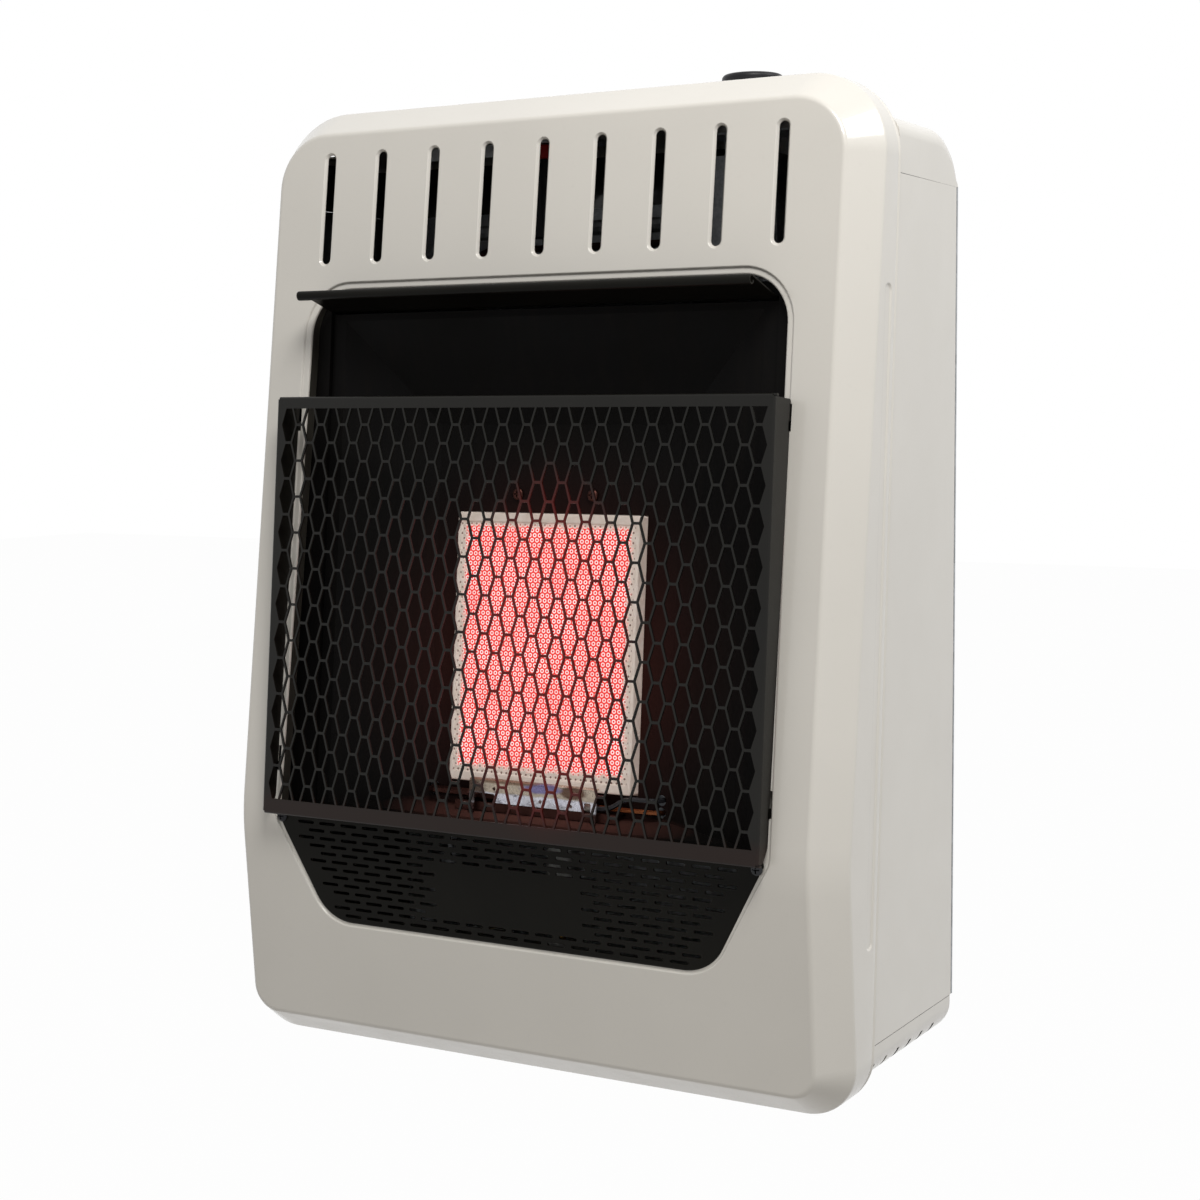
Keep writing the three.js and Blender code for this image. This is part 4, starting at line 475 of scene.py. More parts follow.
def turned(name, profile, place, sides=48, smooth=40):
    """A turned piece; its profile is pairs of radius and height, and place puts its points."""
    skin = Skin()
    turns = [2 * math.pi * i / sides for i in range(sides)]
    rows = [
        [place(radius * math.cos(turn), radius * math.sin(turn), height) for turn in turns]
        for radius, height in profile
    ]
    skin.strip(*rows)
    piece = skin.piece(name, (0, 0, 1))
    turn_outward(piece.data)
    return settle(piece, smooth=smooth)


def gather(name, pieces):
    """Joins several pieces in one object."""
    shape = bmesh.new()
    for piece in pieces:
        shape.from_mesh(piece.data)
        bpy.data.objects.remove(piece)
    mesh = bpy.data.meshes.new(name)
    shape.to_mesh(mesh)
    shape.free()
    return placed(name, mesh)


def bored(piece, cutter):
    """Cuts one piece out of another."""
    cut = piece.modifiers.new("bore", "BOOLEAN")
    cut.operation = "DIFFERENCE"
    cut.solver = "EXACT"
    cut.object = cutter
    fix(piece)
    bpy.data.objects.remove(cutter)
    return piece


def block(name, low, high, place=lambda x, y, z: (x, y, z)):
    """A plain block between two corners, to cut with or to build from."""
    skin = Skin()
    plan = rectangle(low[0], high[0], low[1], high[1])
    rows = [[place(x, y, z) for x, y in plan] for z in (low[2], high[2])]
    skin.strip(*rows)
    start = len(skin.points)
    skin.points += [*rows[0], *rows[1]]
    for face in ((3, 2, 1, 0), (4, 5, 6, 7)):
        skin.faces.append(tuple(start + corner for corner in face))
    piece = skin.piece(name, (0, 0, 1))
    turn_outward(piece.data)
    return piece


def mounted(piece, body, slot, finish, *nodes):
    """Puts the finish on a piece, ties it to its body and hides the CAD nodes that it stands for.
    """
    piece.data.materials.clear()
    piece.data.materials.append(finish)
    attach(piece, body)
    if nodes:
        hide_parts(*nodes)
    return piece


# Finishes


def linear(colour):
    """A colour as the shader takes it, from its sRGB values."""
    return tuple(c / 12.92 if c <= 0.04045 else ((c + 0.055) / 1.055) ** 2.4 for c in colour)


def tint(code):
    return linear(tuple(int(code[i:i + 2], 16) / 255 for i in (0, 2, 4)))


class Finish:
    """A material in the making; its patterns follow the place on the heater."""

    def __init__(self, name, **sockets):
        self.material = bpy.data.materials.new(name)
        self.material.use_nodes = True
        self.tree = self.material.node_tree
        self.shader = self.tree.nodes["Principled BSDF"]
        for socket, value in sockets.items():
            self.shader.inputs[socket.replace("_", " ")].default_value = value
        self.place = self.tree.nodes.new("ShaderNodeTexCoord").outputs["Object"]

    def node(self, kind, inputs=None, **settings):
        node = self.tree.nodes.new(kind)
        for name, value in settings.items():
            setattr(node, name, value)
        for socket, value in (inputs or {}).items():
            self.feed(node.inputs[socket], value)
        return node

    def feed(self, socket, value):
        if isinstance(value, bpy.types.NodeSocket):
            self.tree.links.new(value, socket)
        else:
            socket.default_value = value

    def set(self, socket, value):
        self.feed(self.shader.inputs[socket], value)

    def sum(self, operation, a, b=0.0, c=0.0):
        return self.node("ShaderNodeMath", {0: a, 1: b, 2: c}, operation=operation).outputs[0]

    def vector(self, operation, a, b):
        return self.node("ShaderNodeVectorMath", {0: a, 1: b}, operation=operation)

    def along(self, direction, shift=0.0):
        """Distance of the place along a direction, in metres."""
        dot = self.vector("DOT_PRODUCT", self.place, direction).outputs["Value"]
        return self.sum("ADD", dot, shift)

    def stretched(self, scale):
        return self.node("ShaderNodeMapping", {"Vector": self.place, "Scale": scale}).outputs[0]

    def noise(self, scale, detail=2.0, roughness=0.5, vector=None):
        place = vector or self.place
        inputs = {"Vector": place, "Scale": scale, "Detail": detail, "Roughness": roughness}
        return self.node("ShaderNodeTexNoise", inputs).outputs[0]

    def cells(self, scale, output="Distance"):
        inputs = {"Vector": self.place, "Scale": scale}
        return self.node("ShaderNodeTexVoronoi", inputs).outputs[output]

    def span(self, value, low, high, to_low=0.0, to_high=1.0):
        """A value carried from one span to another, and held at its ends."""
        inputs = {
            "Value": value, "From Min": low, "From Max": high, "To Min": to_low, "To Max": to_high,
        }
        return self.node("ShaderNodeMapRange", inputs).outputs[0]

    def ramp(self, value, *stops):
        node = self.node("ShaderNodeValToRGB", {"Fac": value})
        elements = node.color_ramp.elements
        while len(elements) < len(stops):
            elements.new(1)
        for element, (place, colour) in zip(elements, stops):
            element.position = place
            element.color = (*colour, 1)
        return node.outputs["Color"]

    def blend(self, share, a, b):
        node = self.node("ShaderNodeMix", data_type="RGBA")
        for socket, value in ((0, share), (6, a), (7, b)):
            if isinstance(value, tuple):
                value = (*value, 1)
            self.feed(node.inputs[socket], value)
        return node.outputs[2]

    def cloudy(self, cloud, dark, light, low=0.3, high=0.7):
        """A colour that drifts between two tones."""
        return self.blend(self.span(cloud, low, high), dark, light)

    def bump(self, height, depth, strength):
        inputs = {"Height": height, "Distance": depth, "Strength": strength}
        self.set("Normal", self.node("ShaderNodeBump", inputs).outputs[0])


def scaled(colour, by):
    return tuple(min(1.0, c * by) for c in colour)


def painted_inner_shade(finish):
    """One on the sheets' inner sides, where a dark painted shade stands for the shade inside the
    casing.
    """
    middle = at(*CASING_MIDDLE)
    outward = finish.vector("SUBTRACT", finish.place, tuple(middle)).outputs[0]
    normal = finish.node("ShaderNodeNewGeometry").outputs["Normal"]
    facing = finish.vector("DOT_PRODUCT", normal, outward).outputs["Value"]
    kink = at(0, -KINK_DEPTH, KINK_HEIGHT)
    depths = [
        finish.along((0.0, 1.0, -slope), slope * kink.z - kink.y)
        for slope in (UPPER_SLOPE, LOWER_SLOPE)
    ]
    depth = finish.sum("MINIMUM", *depths)
    deep = finish.sum("GREATER_THAN", depth, metres(INNER_SHADE_DEPTH))
    height = finish.along((0.0, 0.0, 1.0))
    under = finish.sum("LESS_THAN", height, at(0, 0, COVER_TOP - INNER_SHADE_DROP).z)
    inner = finish.sum("MULTIPLY", finish.sum("LESS_THAN", facing, 0.0), deep)
    return finish.sum("MULTIPLY", inner, under)


def enamel():
    """Cream stoved enamel: fine orange peel, faint cloudiness and a soft gloss."""
    colour = tuple(bpy.context.scene.heater_finishes.enamel)
    finish = Finish("cream_enamel", Specular_IOR_Level=0.5, Coat_Weight=0.6, Coat_Roughness=0.07)
    cloud = finish.noise(9.0, 3.0)
    speck = finish.noise(260.0, 2.0)
    base = finish.cloudy(cloud, scaled(colour, 0.97), scaled(colour, 1.02))
    base = finish.blend(finish.span(speck, 0.62, 0.8, 0.0, 0.2), base, scaled(colour, 0.9))
    # The inner sides of the sheets are painted dark grey brown: painted shade inside the casing
    finish.set("Base Color", finish.blend(painted_inner_shade(finish), base, tint("34322d")))
    finish.set("Roughness", finish.span(finish.noise(45.0, 2.0), 0.3, 0.7, 0.3, 0.38))
    finish.bump(finish.noise(420.0, 1.0), 0.00006, 0.35)
    return finish.material


def on_plaque(finish):
    """Distances across the hearth and up it from its foot, in metres."""
    sine, cosine = math.sin(LEAN), math.cos(LEAN)
    foot = at(0, -FOOT_DEPTH, FOOT_HEIGHT)
    across = finish.along((1.0, 0.0, 0.0))
    return across, finish.along((0.0, sine, cosine), -(foot.y * sine + foot.z * cosine))


def square_sum(finish, a, b):
    return finish.sum("MULTIPLY_ADD", a, a, finish.sum("MULTIPLY", b, b))


def from_spot(finish, across, up, x, height, wide, high):
    """One in the middle of an oval spot on the hearth, zero at its edge."""
    parts = [
        finish.sum("MULTIPLY_ADD", value, 1000 / reach, -centre / reach)
        for value, centre, reach in ((across, x, wide), (up, height, high))
    ]
    return finish.span(finish.sum("SQRT", square_sum(finish, *parts)), 0.0, 1.0, 1.0, 0.0)


def satin_black(name, gloss, painted_glow=False):
    """Satin black powder coat of guard, hood and grille; on the guard a reddish pool of the
    plaque's glow is painted, and its foot is darker brown.
    """
    colour = tuple(bpy.context.scene.heater_finishes.black_coat)
    finish = Finish(name, Specular_IOR_Level=gloss)
    cloud = finish.noise(14.0, 4.0)
    grain = finish.noise(1500.0, 2.0)
    base = finish.cloudy(cloud, scaled(colour, 0.8), scaled(colour, 1.25))
    base = finish.blend(finish.span(grain, 0.55, 0.75, 0.0, 0.35), base, scaled(colour, 1.9))
    if painted_glow:
        # Painted light: a red pool of the plaque's glow on the guard in front of it
        across, up = on_plaque(finish)
        spot = from_spot(finish, across, up, 30, 106, 62, 118)
        heat = finish.span(finish.sum("MULTIPLY_ADD", cloud, 0.2, spot), 0.16, 0.5, 0.0, 0.9)
        base = finish.blend(heat, base, tint("6a1511"))
        # A dark brown band along the guard's foot
        base = finish.blend(finish.span(up, 0.007, 0.016, 0.8, 0.0), base, tint("22140f"))
    finish.set("Base Color", base)
    finish.set("Roughness", finish.span(cloud, 0.3, 0.7, 0.3, 0.4))
    finish.bump(grain, 0.00005, 0.5)
    return finish.material


def firebox_black(name, painted_glow):
    """Matt black of the firebox; on the reflector a reddish brown pool of the plaque's glow is
    painted round it, and its reflection in the floor below it.
    """
    finish = Finish(name, Specular_IOR_Level=0.06)
    cloud = finish.noise(18.0, 5.0, 0.6)
    streak = finish.noise(30.0, 3.0, 0.5, finish.stretched((4.0, 4.0, 0.5)))
    base = finish.cloudy(cloud, tint("090808"), tint("0f0e0d"), 0.35)
    base = finish.blend(finish.span(streak, 0.5, 0.8, 0.0, 0.6), base, tint("14110f"))
    if painted_glow:
        # Painted light: a reddish brown pool of the plaque's glow on the reflector round it
        across, up = on_plaque(finish)
        spot = from_spot(finish, across, up, 0, 100, 150, 150)
        uneven = finish.span(cloud, 0.2, 0.8, 0.7, 1.0)
        heat = finish.sum("MULTIPLY", finish.sum("MULTIPLY", spot, spot), uneven)
        base = finish.blend(heat, base, tint("5a2c26"))
        # Painted reflection: the plaque's glow reflected in the reflector's floor below it
        foot = from_spot(finish, across, up, 0, 9, 110, 8)
        base = finish.blend(finish.sum("MULTIPLY", foot, 0.8), base, tint("6e4840"))
    finish.set("Base Color", base)
    finish.set("Roughness", finish.span(cloud, 0.3, 0.7, 0.5, 0.66))
    finish.bump(finish.noise(900.0, 2.0), 0.00005, 0.5)
    return finish.material


def galvanised():
    """Galvanised steel with its spangle."""
    finish = Finish("galvanised_sheet", Metallic=0.6)
    spangle = finish.cells(160.0, output="Color")
    grain = finish.noise(700.0, 2.0)
    tone = finish.span(spangle, 0.0, 1.0)
    base = finish.blend(tone, tint("a6aaae"), tint("c8ccd0"))
    base = finish.blend(finish.span(grain, 0.4, 0.7, 0.0, 0.25), base, tint("8f9398"))
    finish.set("Base Color", base)
    finish.set("Roughness", finish.span(tone, 0.0, 1.0, 0.3, 0.46))
    finish.bump(finish.cells(160.0), 0.00004, 0.4)
    return finish.material


def stained_shield():
    """Bright shield of the pilot: beige along its ledge, with brown scorches and one blue bloom."""
    finish = Finish("heat_stained_shield", Metallic=0.55)
    across, up = on_plaque(finish)
    cloud = finish.noise(140.0, 5.0, 0.65)
    base = finish.cloudy(cloud, tint("d9d9e8"), tint("f4f4fb"))
    ledge = finish.span(finish.sum("MULTIPLY_ADD", cloud, 0.002, up), 0.0216, 0.0228)
    base = finish.blend(ledge, base, tint("c6b8a6"))
    for x, height, wide, high, colour in (
        (-46, 22, 17, 10, "3c2519"), (28, 25.5, 11, 4.5, "5c3d2c"),
        (7, 26.4, 16, 4, "7a74a8"), (-20, 28.8, 30, 2.5, "8a705c"),
    ):
        spot = from_spot(finish, across, up, x, height, wide, high)
        share = finish.span(finish.sum("MULTIPLY_ADD", cloud, 0.5, spot), 0.3, 0.6, 0.0, 0.92)
        base = finish.blend(share, base, tint(colour))
    base = finish.blend(finish.span(up, 0.0140, 0.0150, 1.0, 0.0), base, tint("3c2420"))
    finish.set("Base Color", base)
    finish.set("Roughness", finish.span(cloud, 0.3, 0.7, 0.16, 0.4))
    finish.bump(finish.noise(180.0, 2.0), 0.0012, 0.6)
    return finish.material


def aluminised():
    """Aluminised sheet of the burner, dulled by heat."""
    finish = Finish("aluminised_sheet", Metallic=1.0)
    cloud = finish.noise(30.0, 5.0, 0.6)
    finish.set("Base Color", finish.cloudy(cloud, tint("9c9c99"), tint("bcbcb8")))
    finish.set("Roughness", finish.span(cloud, 0.3, 0.7, 0.42, 0.6))
    finish.bump(finish.noise(600.0, 3.0), 0.00006, 0.4)
    return finish.material


def cast_aluminium():
    """Bare cast and drawn aluminium of the valve, the regulator and the tubes."""
    finish = Finish("bare_aluminium", Metallic=1.0)
    grain = finish.noise(420.0, 4.0, 0.65)
    finish.set("Base Color", finish.cloudy(grain, tint("77797c"), tint("9a9c9f")))
    finish.set("Roughness", finish.span(grain, 0.3, 0.7, 0.38, 0.58))
    finish.bump(grain, 0.00012, 0.5)
    return finish.material


def turned_metal(name, dark, light, low, high):
    """A turned metal with fine tool marks round it."""
    finish = Finish(name, Metallic=1.0)
    cloud = finish.noise(60.0, 4.0, 0.6)
    marks = finish.noise(90.0, 2.0, 0.5, finish.stretched((1.0, 1.0, 40.0)))
    finish.set("Base Color", finish.cloudy(cloud, tint(dark), tint(light)))
    finish.set("Roughness", finish.span(marks, 0.3, 0.7, low, high))
    finish.bump(marks, 0.00003, 0.4)
    return finish.material


def moulded(name, colour, roughness, gloss=0.5, grain=900.0):
    """Moulded plastic, ceramic or rubber with a fine skin."""
    finish = Finish(name, Specular_IOR_Level=gloss)
    cloud = finish.noise(40.0, 3.0)
    skin = finish.noise(grain, 2.0)
    finish.set("Base Color", finish.cloudy(cloud, scaled(colour, 0.85), scaled(colour, 1.12)))
    finish.set("Roughness", finish.span(skin, 0.3, 0.7, roughness - 0.05, roughness + 0.08))
    finish.bump(skin, 0.00004, 0.4)
    return finish.material


def fibre():
    """Ceramic-fibre gasket."""
    finish = Finish("fibre_gasket", Roughness=0.95, Specular_IOR_Level=0.2)
    strands = finish.noise(500.0, 4.0, 0.7, finish.stretched((1.0, 0.3, 1.0)))
    finish.set("Base Color", finish.cloudy(strands, tint("c9c3b6"), tint("ece8de")))
    finish.bump(strands, 0.0003, 0.8)
    return finish.material


def lattice(finish, across, up, pitch):
    """Distance to the nearest of holes in staggered rows, in metres."""
    rise = pitch * math.sqrt(3)
    nearest = None
    for shift in (0.0, 0.5):
        parts = []
        for value, step in ((across, pitch), (up, rise)):
            cell = finish.sum("FRACT", finish.sum("MULTIPLY_ADD", value, 1 / step, shift + 100))
            parts.append(finish.sum("MULTIPLY", finish.sum("SUBTRACT", cell, 0.5), step))
        square = square_sum(finish, *parts)
        nearest = square if nearest is None else finish.sum("MINIMUM", nearest, square)
    return finish.sum("SQRT", nearest)


def ceramic():
    """Perforated ceramic whose field glows: red holes with pale rims, unlit at its margin, which
    gets a faint painted pale glow that brightens it.
    """
    looks = bpy.context.scene.heater_finishes
    finish = Finish("glowing_ceramic", Roughness=0.92, Specular_IOR_Level=0.2)
    across, up = on_plaque(finish)
    hole = lattice(finish, across, up, looks.hole_pitch)
    radius = looks.hole_pitch / 2

    def inside(side, top, bottom):
        """Distance inward from lines at those millimetres from the plaque's edges."""
        half = metres(PLAQUE_HALF_WIDTH - side)
        from_side = finish.sum("SUBTRACT", half, finish.sum("ABSOLUTE", across))
        from_top = finish.sum("SUBTRACT", metres(PLAQUE_TOP - top), up)
        from_bottom = finish.sum("SUBTRACT", up, metres(PLAQUE_BOTTOM + bottom))
        return finish.sum("MINIMUM", from_side, finish.sum("MINIMUM", from_top, from_bottom))

    ragged = finish.span(finish.noise(380.0, 2.0), 0.3, 0.7, -0.0016, 0.0016)
    lit = finish.span(finish.sum("ADD", inside(6.0, 7.6, 9.8), ragged), -0.0016, 0.0018)
    holed = finish.span(inside(2.4, 5.6, 5.6), 0.0, 0.0004)
    clay = finish.cloudy(finish.noise(200.0, 4.0), tint("e2dace"), tint("f3ece4"))
    dark = finish.sum("MULTIPLY", finish.span(hole, 0.0005, 0.0008, 1.0, 0.0), holed)
    cold = finish.blend(dark, clay, tint("4a2c24"))
    finish.set("Base Color", finish.blend(lit, cold, tint("4a1814")))
    tone = finish.ramp(
        finish.sum("DIVIDE", hole, radius),
        (0.0, tint("dc0e1c")), (0.32, tint("e61c26")), (0.46, tint("ffffff")),
        (0.66, tint("fff0ea")), (0.8, tint("f04c48")), (1.0, tint("e63632")),
    )
    heat = finish.span(finish.noise(60.0, 2.0), 0.3, 0.7, 0.0, 0.3)
    fire = finish.blend(heat, tone, tint("ea4440"))
    # The cold margin gets a faint pale emission: painted light that brightens it
    finish.set("Emission Color", finish.blend(lit, tint("ffd8c8"), fire))
    finish.set("Emission Strength", finish.span(lit, 0.0, 1.0, looks.glow * 0.14, looks.glow))
    finish.bump(finish.sum("MULTIPLY", finish.span(hole, 0.0004, 0.0009), holed), 0.0004, 0.6)
    return finish.material


FINISHES = {}


def coat(name):
    """The finish of that name, made once."""
    makers = {
        "enamel": enamel,
        "guard black": lambda: satin_black("guard_black_coat", 0.22, True),
        "satin black": lambda: satin_black("satin_black_coat", 0.07),
        "firebox black": lambda: firebox_black("firebox_black", False),
        "glow painted black": lambda: firebox_black("reflector_black_with_painted_glow", True),
        "stained shield": stained_shield,
        "galvanised": galvanised,
        "aluminised": aluminised,
        "aluminium": cast_aluminium,
        "brass": lambda: turned_metal("brass", "a47c34", "c9a154", 0.24, 0.4),
        "copper": lambda: turned_metal("copper", "94502e", "bd7850", 0.28, 0.45),
        "burnt steel": lambda: turned_metal("burnt_steel", "38231f", "553630", 0.34, 0.55),
        "blacked steel": lambda: turned_metal("blacked_steel", "1c1c1d", "3a3a3c", 0.16, 0.3),
        "plated steel": lambda: turned_metal("plated_steel", "8e9093", "b4b6b8", 0.24, 0.4),
        "porcelain": lambda: moulded("glazed_porcelain", tint("e6e2d8"), 0.22),
        "red plastic": lambda: moulded("red_plastic", tint("e4181f"), 0.36),
        "black plastic": lambda: moulded("black_plastic", tint("111114"), 0.42, 0.25),
        "sleeve": lambda: moulded("lead_sleeve", tint("26262a"), 0.55),
        "fibre": fibre,
        "ceramic": ceramic,
    }
    if name not in FINISHES:
        FINISHES[name] = makers[name]()
    return FINISHES[name]


# Casing


def tray_ring(inset):
    half = HALF_WIDTH - inset
    corners = rectangle(-half, half, inset, PANEL_HEIGHT - inset)
    bottom, top = BOTTOM_CORNER - inset, TOP_CORNER - inset
    return rounded(corners, [bottom, bottom, top, top], CORNER_STEPS)


def bead_ring(by):
    """Outline of the pressed bead beside the seam, in Y and Z."""
    half = BEAD_WIDTH / 2
    ends = [(BEAD_BOTTOM, -half), (BEAD_BOTTOM, half), (BEAD_TOP, half), (BEAD_TOP, -half)]
    corners = [(seam_y(z) - BEAD_SETBACK + shift, z) for z, shift in ends]
    return rounded(grown(corners, by), [half - 0.3 + by] * 4, 6)


def hook_slot_cutter():
    """The punch for the four slots that take the guard's hooks."""
    slots = []
    for tongue in HOOK_TONGUES:
        bottom = tongue - GAP
        top = bottom + HOOK_TONGUE_HEIGHT + GUARD_LIFT + HOOK_CLEAR
        front = face_y(bottom) - 3
        for side in (-1, 1):
            near = side * (GUARD_HALF_WIDTH - SHEET - HOOK_CLEAR)
            far = side * (GUARD_HALF_WIDTH + HOOK_CLEAR)
            left, right = min(near, far), max(near, far)
            slots.append(block("slot", (left, front, bottom), (right, front + 16, top)))
    return gather("hook_slots", slots)


def slot_ring(x, by):
    half = SLOT_WIDTH / 2
    corners = rectangle(x - half - by, x + half + by, SLOT_BOTTOM - by, SLOT_TOP + by)
    return rounded(corners, [half + by - 0.01] * 4, 5)


def recess_section(outer_bend, lip_radius):
    """Pairs of outward growth and depth from the face over the joggle and the lip to the flange."""
    inner_bend = RECESS_INNER_BEND
    steep = math.acos(1 - RECESS_DEPTH / (outer_bend + inner_bend))
    wide = (outer_bend + inner_bend) * math.sin(steep)
    turns = [steep * step / BEND_STEPS for step in range(BEND_STEPS + 1)]
    section = [(-outer_bend * math.sin(turn), outer_bend * (1 - math.cos(turn))) for turn in turns]
    for turn in reversed(turns[:-1]):
        rise = inner_bend * (1 - math.cos(turn))
        section.append((inner_bend * math.sin(turn) - wide, RECESS_DEPTH - rise))
    for growth, depth in roll(lip_radius):
        section.append((growth - RECESS_WIDTH, RECESS_DEPTH + depth))
    return section + [(-RECESS_WIDTH, OPENING_FLANGE)]


def build_front_panel():
    sizes = bpy.context.scene.heater_sizes
    fillet = sizes.face_fillet * 1000
    skin = Skin()
    folds = kink_heights()
    wide, deep = CHAMFER_WIDTH, CHAMFER_DEPTH
    section = [(2 * wide, 0), (wide, 0), (0, deep), (0, 3 * deep)]
    profile = rounded(section, [0, fillet, fillet, 0])[1:-1]
    rings = with_folds([tray_ring(inset) for inset, _ in profile] + [tray_ring(0)], folds)
    rows = on_face(rings, [depth for _, depth in profile])
    skin.strip(*rows)

    # Returns back to the seam; those at the sides carry a pressed bead
    hems = []
    for sink, back in SEAM_HEM:
        ring = with_folds([tray_ring(0), tray_ring(sink)], folds)[1]
        hems.append([(x, seam_y(z) + back, z) for x, z in ring])
    skin.strip(*hems)
    seam = hems[0]
    at_side = [abs(point[0]) > HALF_WIDTH - 0.001 for point in seam]
    for i, point in enumerate(seam):
        j = (i + 1) % len(seam)
        if not (at_side[i] and at_side[j]):
            skin.strip([rows[-1][i], rows[-1][j]], [seam[i], seam[j]], closed=False)
    for side in (-1, 1):
        edge = [i for i, point in enumerate(seam) if at_side[i] and point[0] * side > 0]
        edge.sort(key=lambda i: seam[i][2])
        outline = [rows[-1][i][1:] for i in edge] + [seam[i][1:] for i in reversed(edge)]
        skin.patch([outline, bead_ring(0)], lambda y, z: (side * HALF_WIDTH, y, z))
        skin.strip(*[
            [(side * (HALF_WIDTH - sink), y, z) for y, z in bead_ring(by)]
            for by, sink in BEAD_STEPS
        ])
        bottom = bead_ring(BEAD_STEPS[-1][0])
        skin.patch([bottom], lambda y, z: (side * (HALF_WIDTH - BEAD_DEPTH), y, z))

    # Recessed border and flange of the opening
    lip = recess_section(sizes.joggle * 1000, sizes.lip * 1000)
    lips = with_folds([recess_outline(by) for by, _ in lip], folds)
    skin.strip(*on_face(lips, [depth for _, depth in lip]))

    # Warm-air slots with drawn lips
    width = sizes.slot_lip * 1000
    depths = [depth * width for _, depth in SLOT_LIP]
    holes = []
    for i in range(SLOT_COUNT):
        x = (i - (SLOT_COUNT - 1) / 2) * SLOT_PITCH
        outlines = [slot_ring(x, growth * width) for growth, _ in SLOT_LIP]
        skin.strip(*on_face(outlines, depths))
        holes.append(outlines[0])
    skin.patch([rings[0], lips[0], *holes], lambda x, z: (x, face_y(z), z), folds)
    piece = settle(skin.piece("front_panel_sheet", (0, -1, 0)), SHEET, smooth=32)
    settle(bored(piece, hook_slot_cutter()), smooth=32)
    mounted(piece, "casing", "cream_enamel", coat("enamel"), "front_panel")


def build_side_panels():
    bend = bpy.context.scene.heater_sizes.rear_bend * 1000
    rear = -SHEET - GAP
    lap_bottom = SIDE_BOTTOM + SEAM_LAP
    lap_top = SIDE_TOP - SEAM_LAP
    outline = [
        (seam_y(SIDE_BOTTOM) + GAP, SIDE_BOTTOM),
        (rear - bend, SIDE_BOTTOM),
        (rear - bend, SIDE_TOP),
        (seam_y(SIDE_TOP) + GAP, SIDE_TOP),
        (seam_y(lap_top) + GAP, lap_top),
        (seam_y(lap_top) - SEAM_LAP, lap_top),
        (seam_y(lap_bottom) - SEAM_LAP, lap_bottom),
        (seam_y(lap_bottom) + GAP, lap_bottom),
    ]
    for side, word in ((-1, "left"), (1, "right")):
        skin = Skin()
        skin.patch([outline], lambda y, z: (side * CASE_HALF_WIDTH, y, z))
        half = CASE_HALF_WIDTH
        plan = [(half, rear - 5), (half, rear), (half - SIDE_FLANGE, rear)]
        path = rounded(plan, [0, bend, 0])[1:]
        rows = [[(side * x, y, SIDE_BOTTOM), (side * x, y, SIDE_TOP)] for x, y in path]
        skin.strip(*rows, closed=False)
        piece = settle(skin.piece(f"side_panel_{word}_sheet", (side, 0, 0)), SHEET)
        mounted(piece, "casing", "cream_enamel", coat("enamel"), f"side_panel_{word}")


def cover_profile(edge, turn):
    """Places from the cover's front over its top and down its back, so far round its side edge."""
    outline = [(seam_y(COVER_TOP), COVER_TOP)]
    for step in range(CORNER_STEPS + 1):
        angle = math.pi / 2 * (1 - step / CORNER_STEPS)
        y = -COVER_CORNER + COVER_CORNER * math.cos(angle)
        outline.append((y, COVER_TOP - COVER_CORNER + COVER_CORNER * math.sin(angle)))
    outline.append((0, SIDE_TOP + 0.03))
    places = []
    for y, z in outline:
        radius = max(min(edge, z - SIDE_TOP - GAP), 0)
        z -= radius * (1 - math.cos(turn))
        places.append((CASE_HALF_WIDTH - radius * (1 - math.sin(turn)), y, z))
    x, _, z = places[0]
    places[0] = (x, seam_y(z) + GAP, z)
    return places


def build_top_cover():
    sizes = bpy.context.scene.heater_sizes
    edge = sizes.cheek_edge * 1000
    bend = sizes.rear_bend * 1000
    half = CASE_HALF_WIDTH - edge
    skin = Skin()
    front = seam_y(COVER_TOP) + GAP
    tongue = -UPSTAND_DEPTH + SHEET + bend
    width = UPSTAND_HALF_WIDTH
    outline = [
        (-half, -COVER_CORNER), (-half, front), (-width, front), (-width, tongue),
        (width, tongue), (width, front), (half, front), (half, -COVER_CORNER),
    ]
    holes = [circle(VALVE_X, VALVE_Y, STEM_HOLE), circle(IGNITER_X, IGNITER_Y, IGNITER_HOLE)]
    skin.patch([outline, *holes], lambda x, y: (x, y, COVER_TOP))
    back = cover_profile(edge, 0)[1:]
    skin.strip(*[[(-x, y, z), (x, y, z)] for x, y, z in back], closed=False)
    wall = -UPSTAND_DEPTH + SHEET
    rise = [(tongue + 5, COVER_TOP), (wall, COVER_TOP), (wall, UPSTAND_TOP)]
    skin.across(UPSTAND_HALF_WIDTH, rounded(rise, [0, bend, 0])[1:])
    for side in (-1, 1):
        rows = []
        for step in range(BEND_STEPS + 1):
            places = cover_profile(edge, math.pi / 2 * step / BEND_STEPS)
            rows.append([(side * x, y, z) for x, y, z in places])
        skin.strip(*rows, closed=False)
        cheek = [(y, z) for _, y, z in cover_profile(edge, math.pi / 2)]
        cheek.append((seam_y(SIDE_TOP + GAP) + GAP, SIDE_TOP + GAP))
        skin.patch([cheek], lambda y, z: (side * CASE_HALF_WIDTH, y, z))
    piece = settle(skin.piece("top_cover_sheet", (0, 0, 1)), SHEET)
    mounted(piece, "casing", "cream_enamel", coat("enamel"), "top_cover")


def pan_ring(inset):
    """Outline of the pan from its open front round the back, in X and Y."""
    half = CASE_HALF_WIDTH - inset
    front = -SEAM_BOTTOM_DEPTH + GAP
    corners = [(-half, front), (-half, -inset), (half, -inset), (half, front)]
    radius = max(5 - inset / 2, 1)
    return rounded(corners, [0, radius, radius, 0], 6)


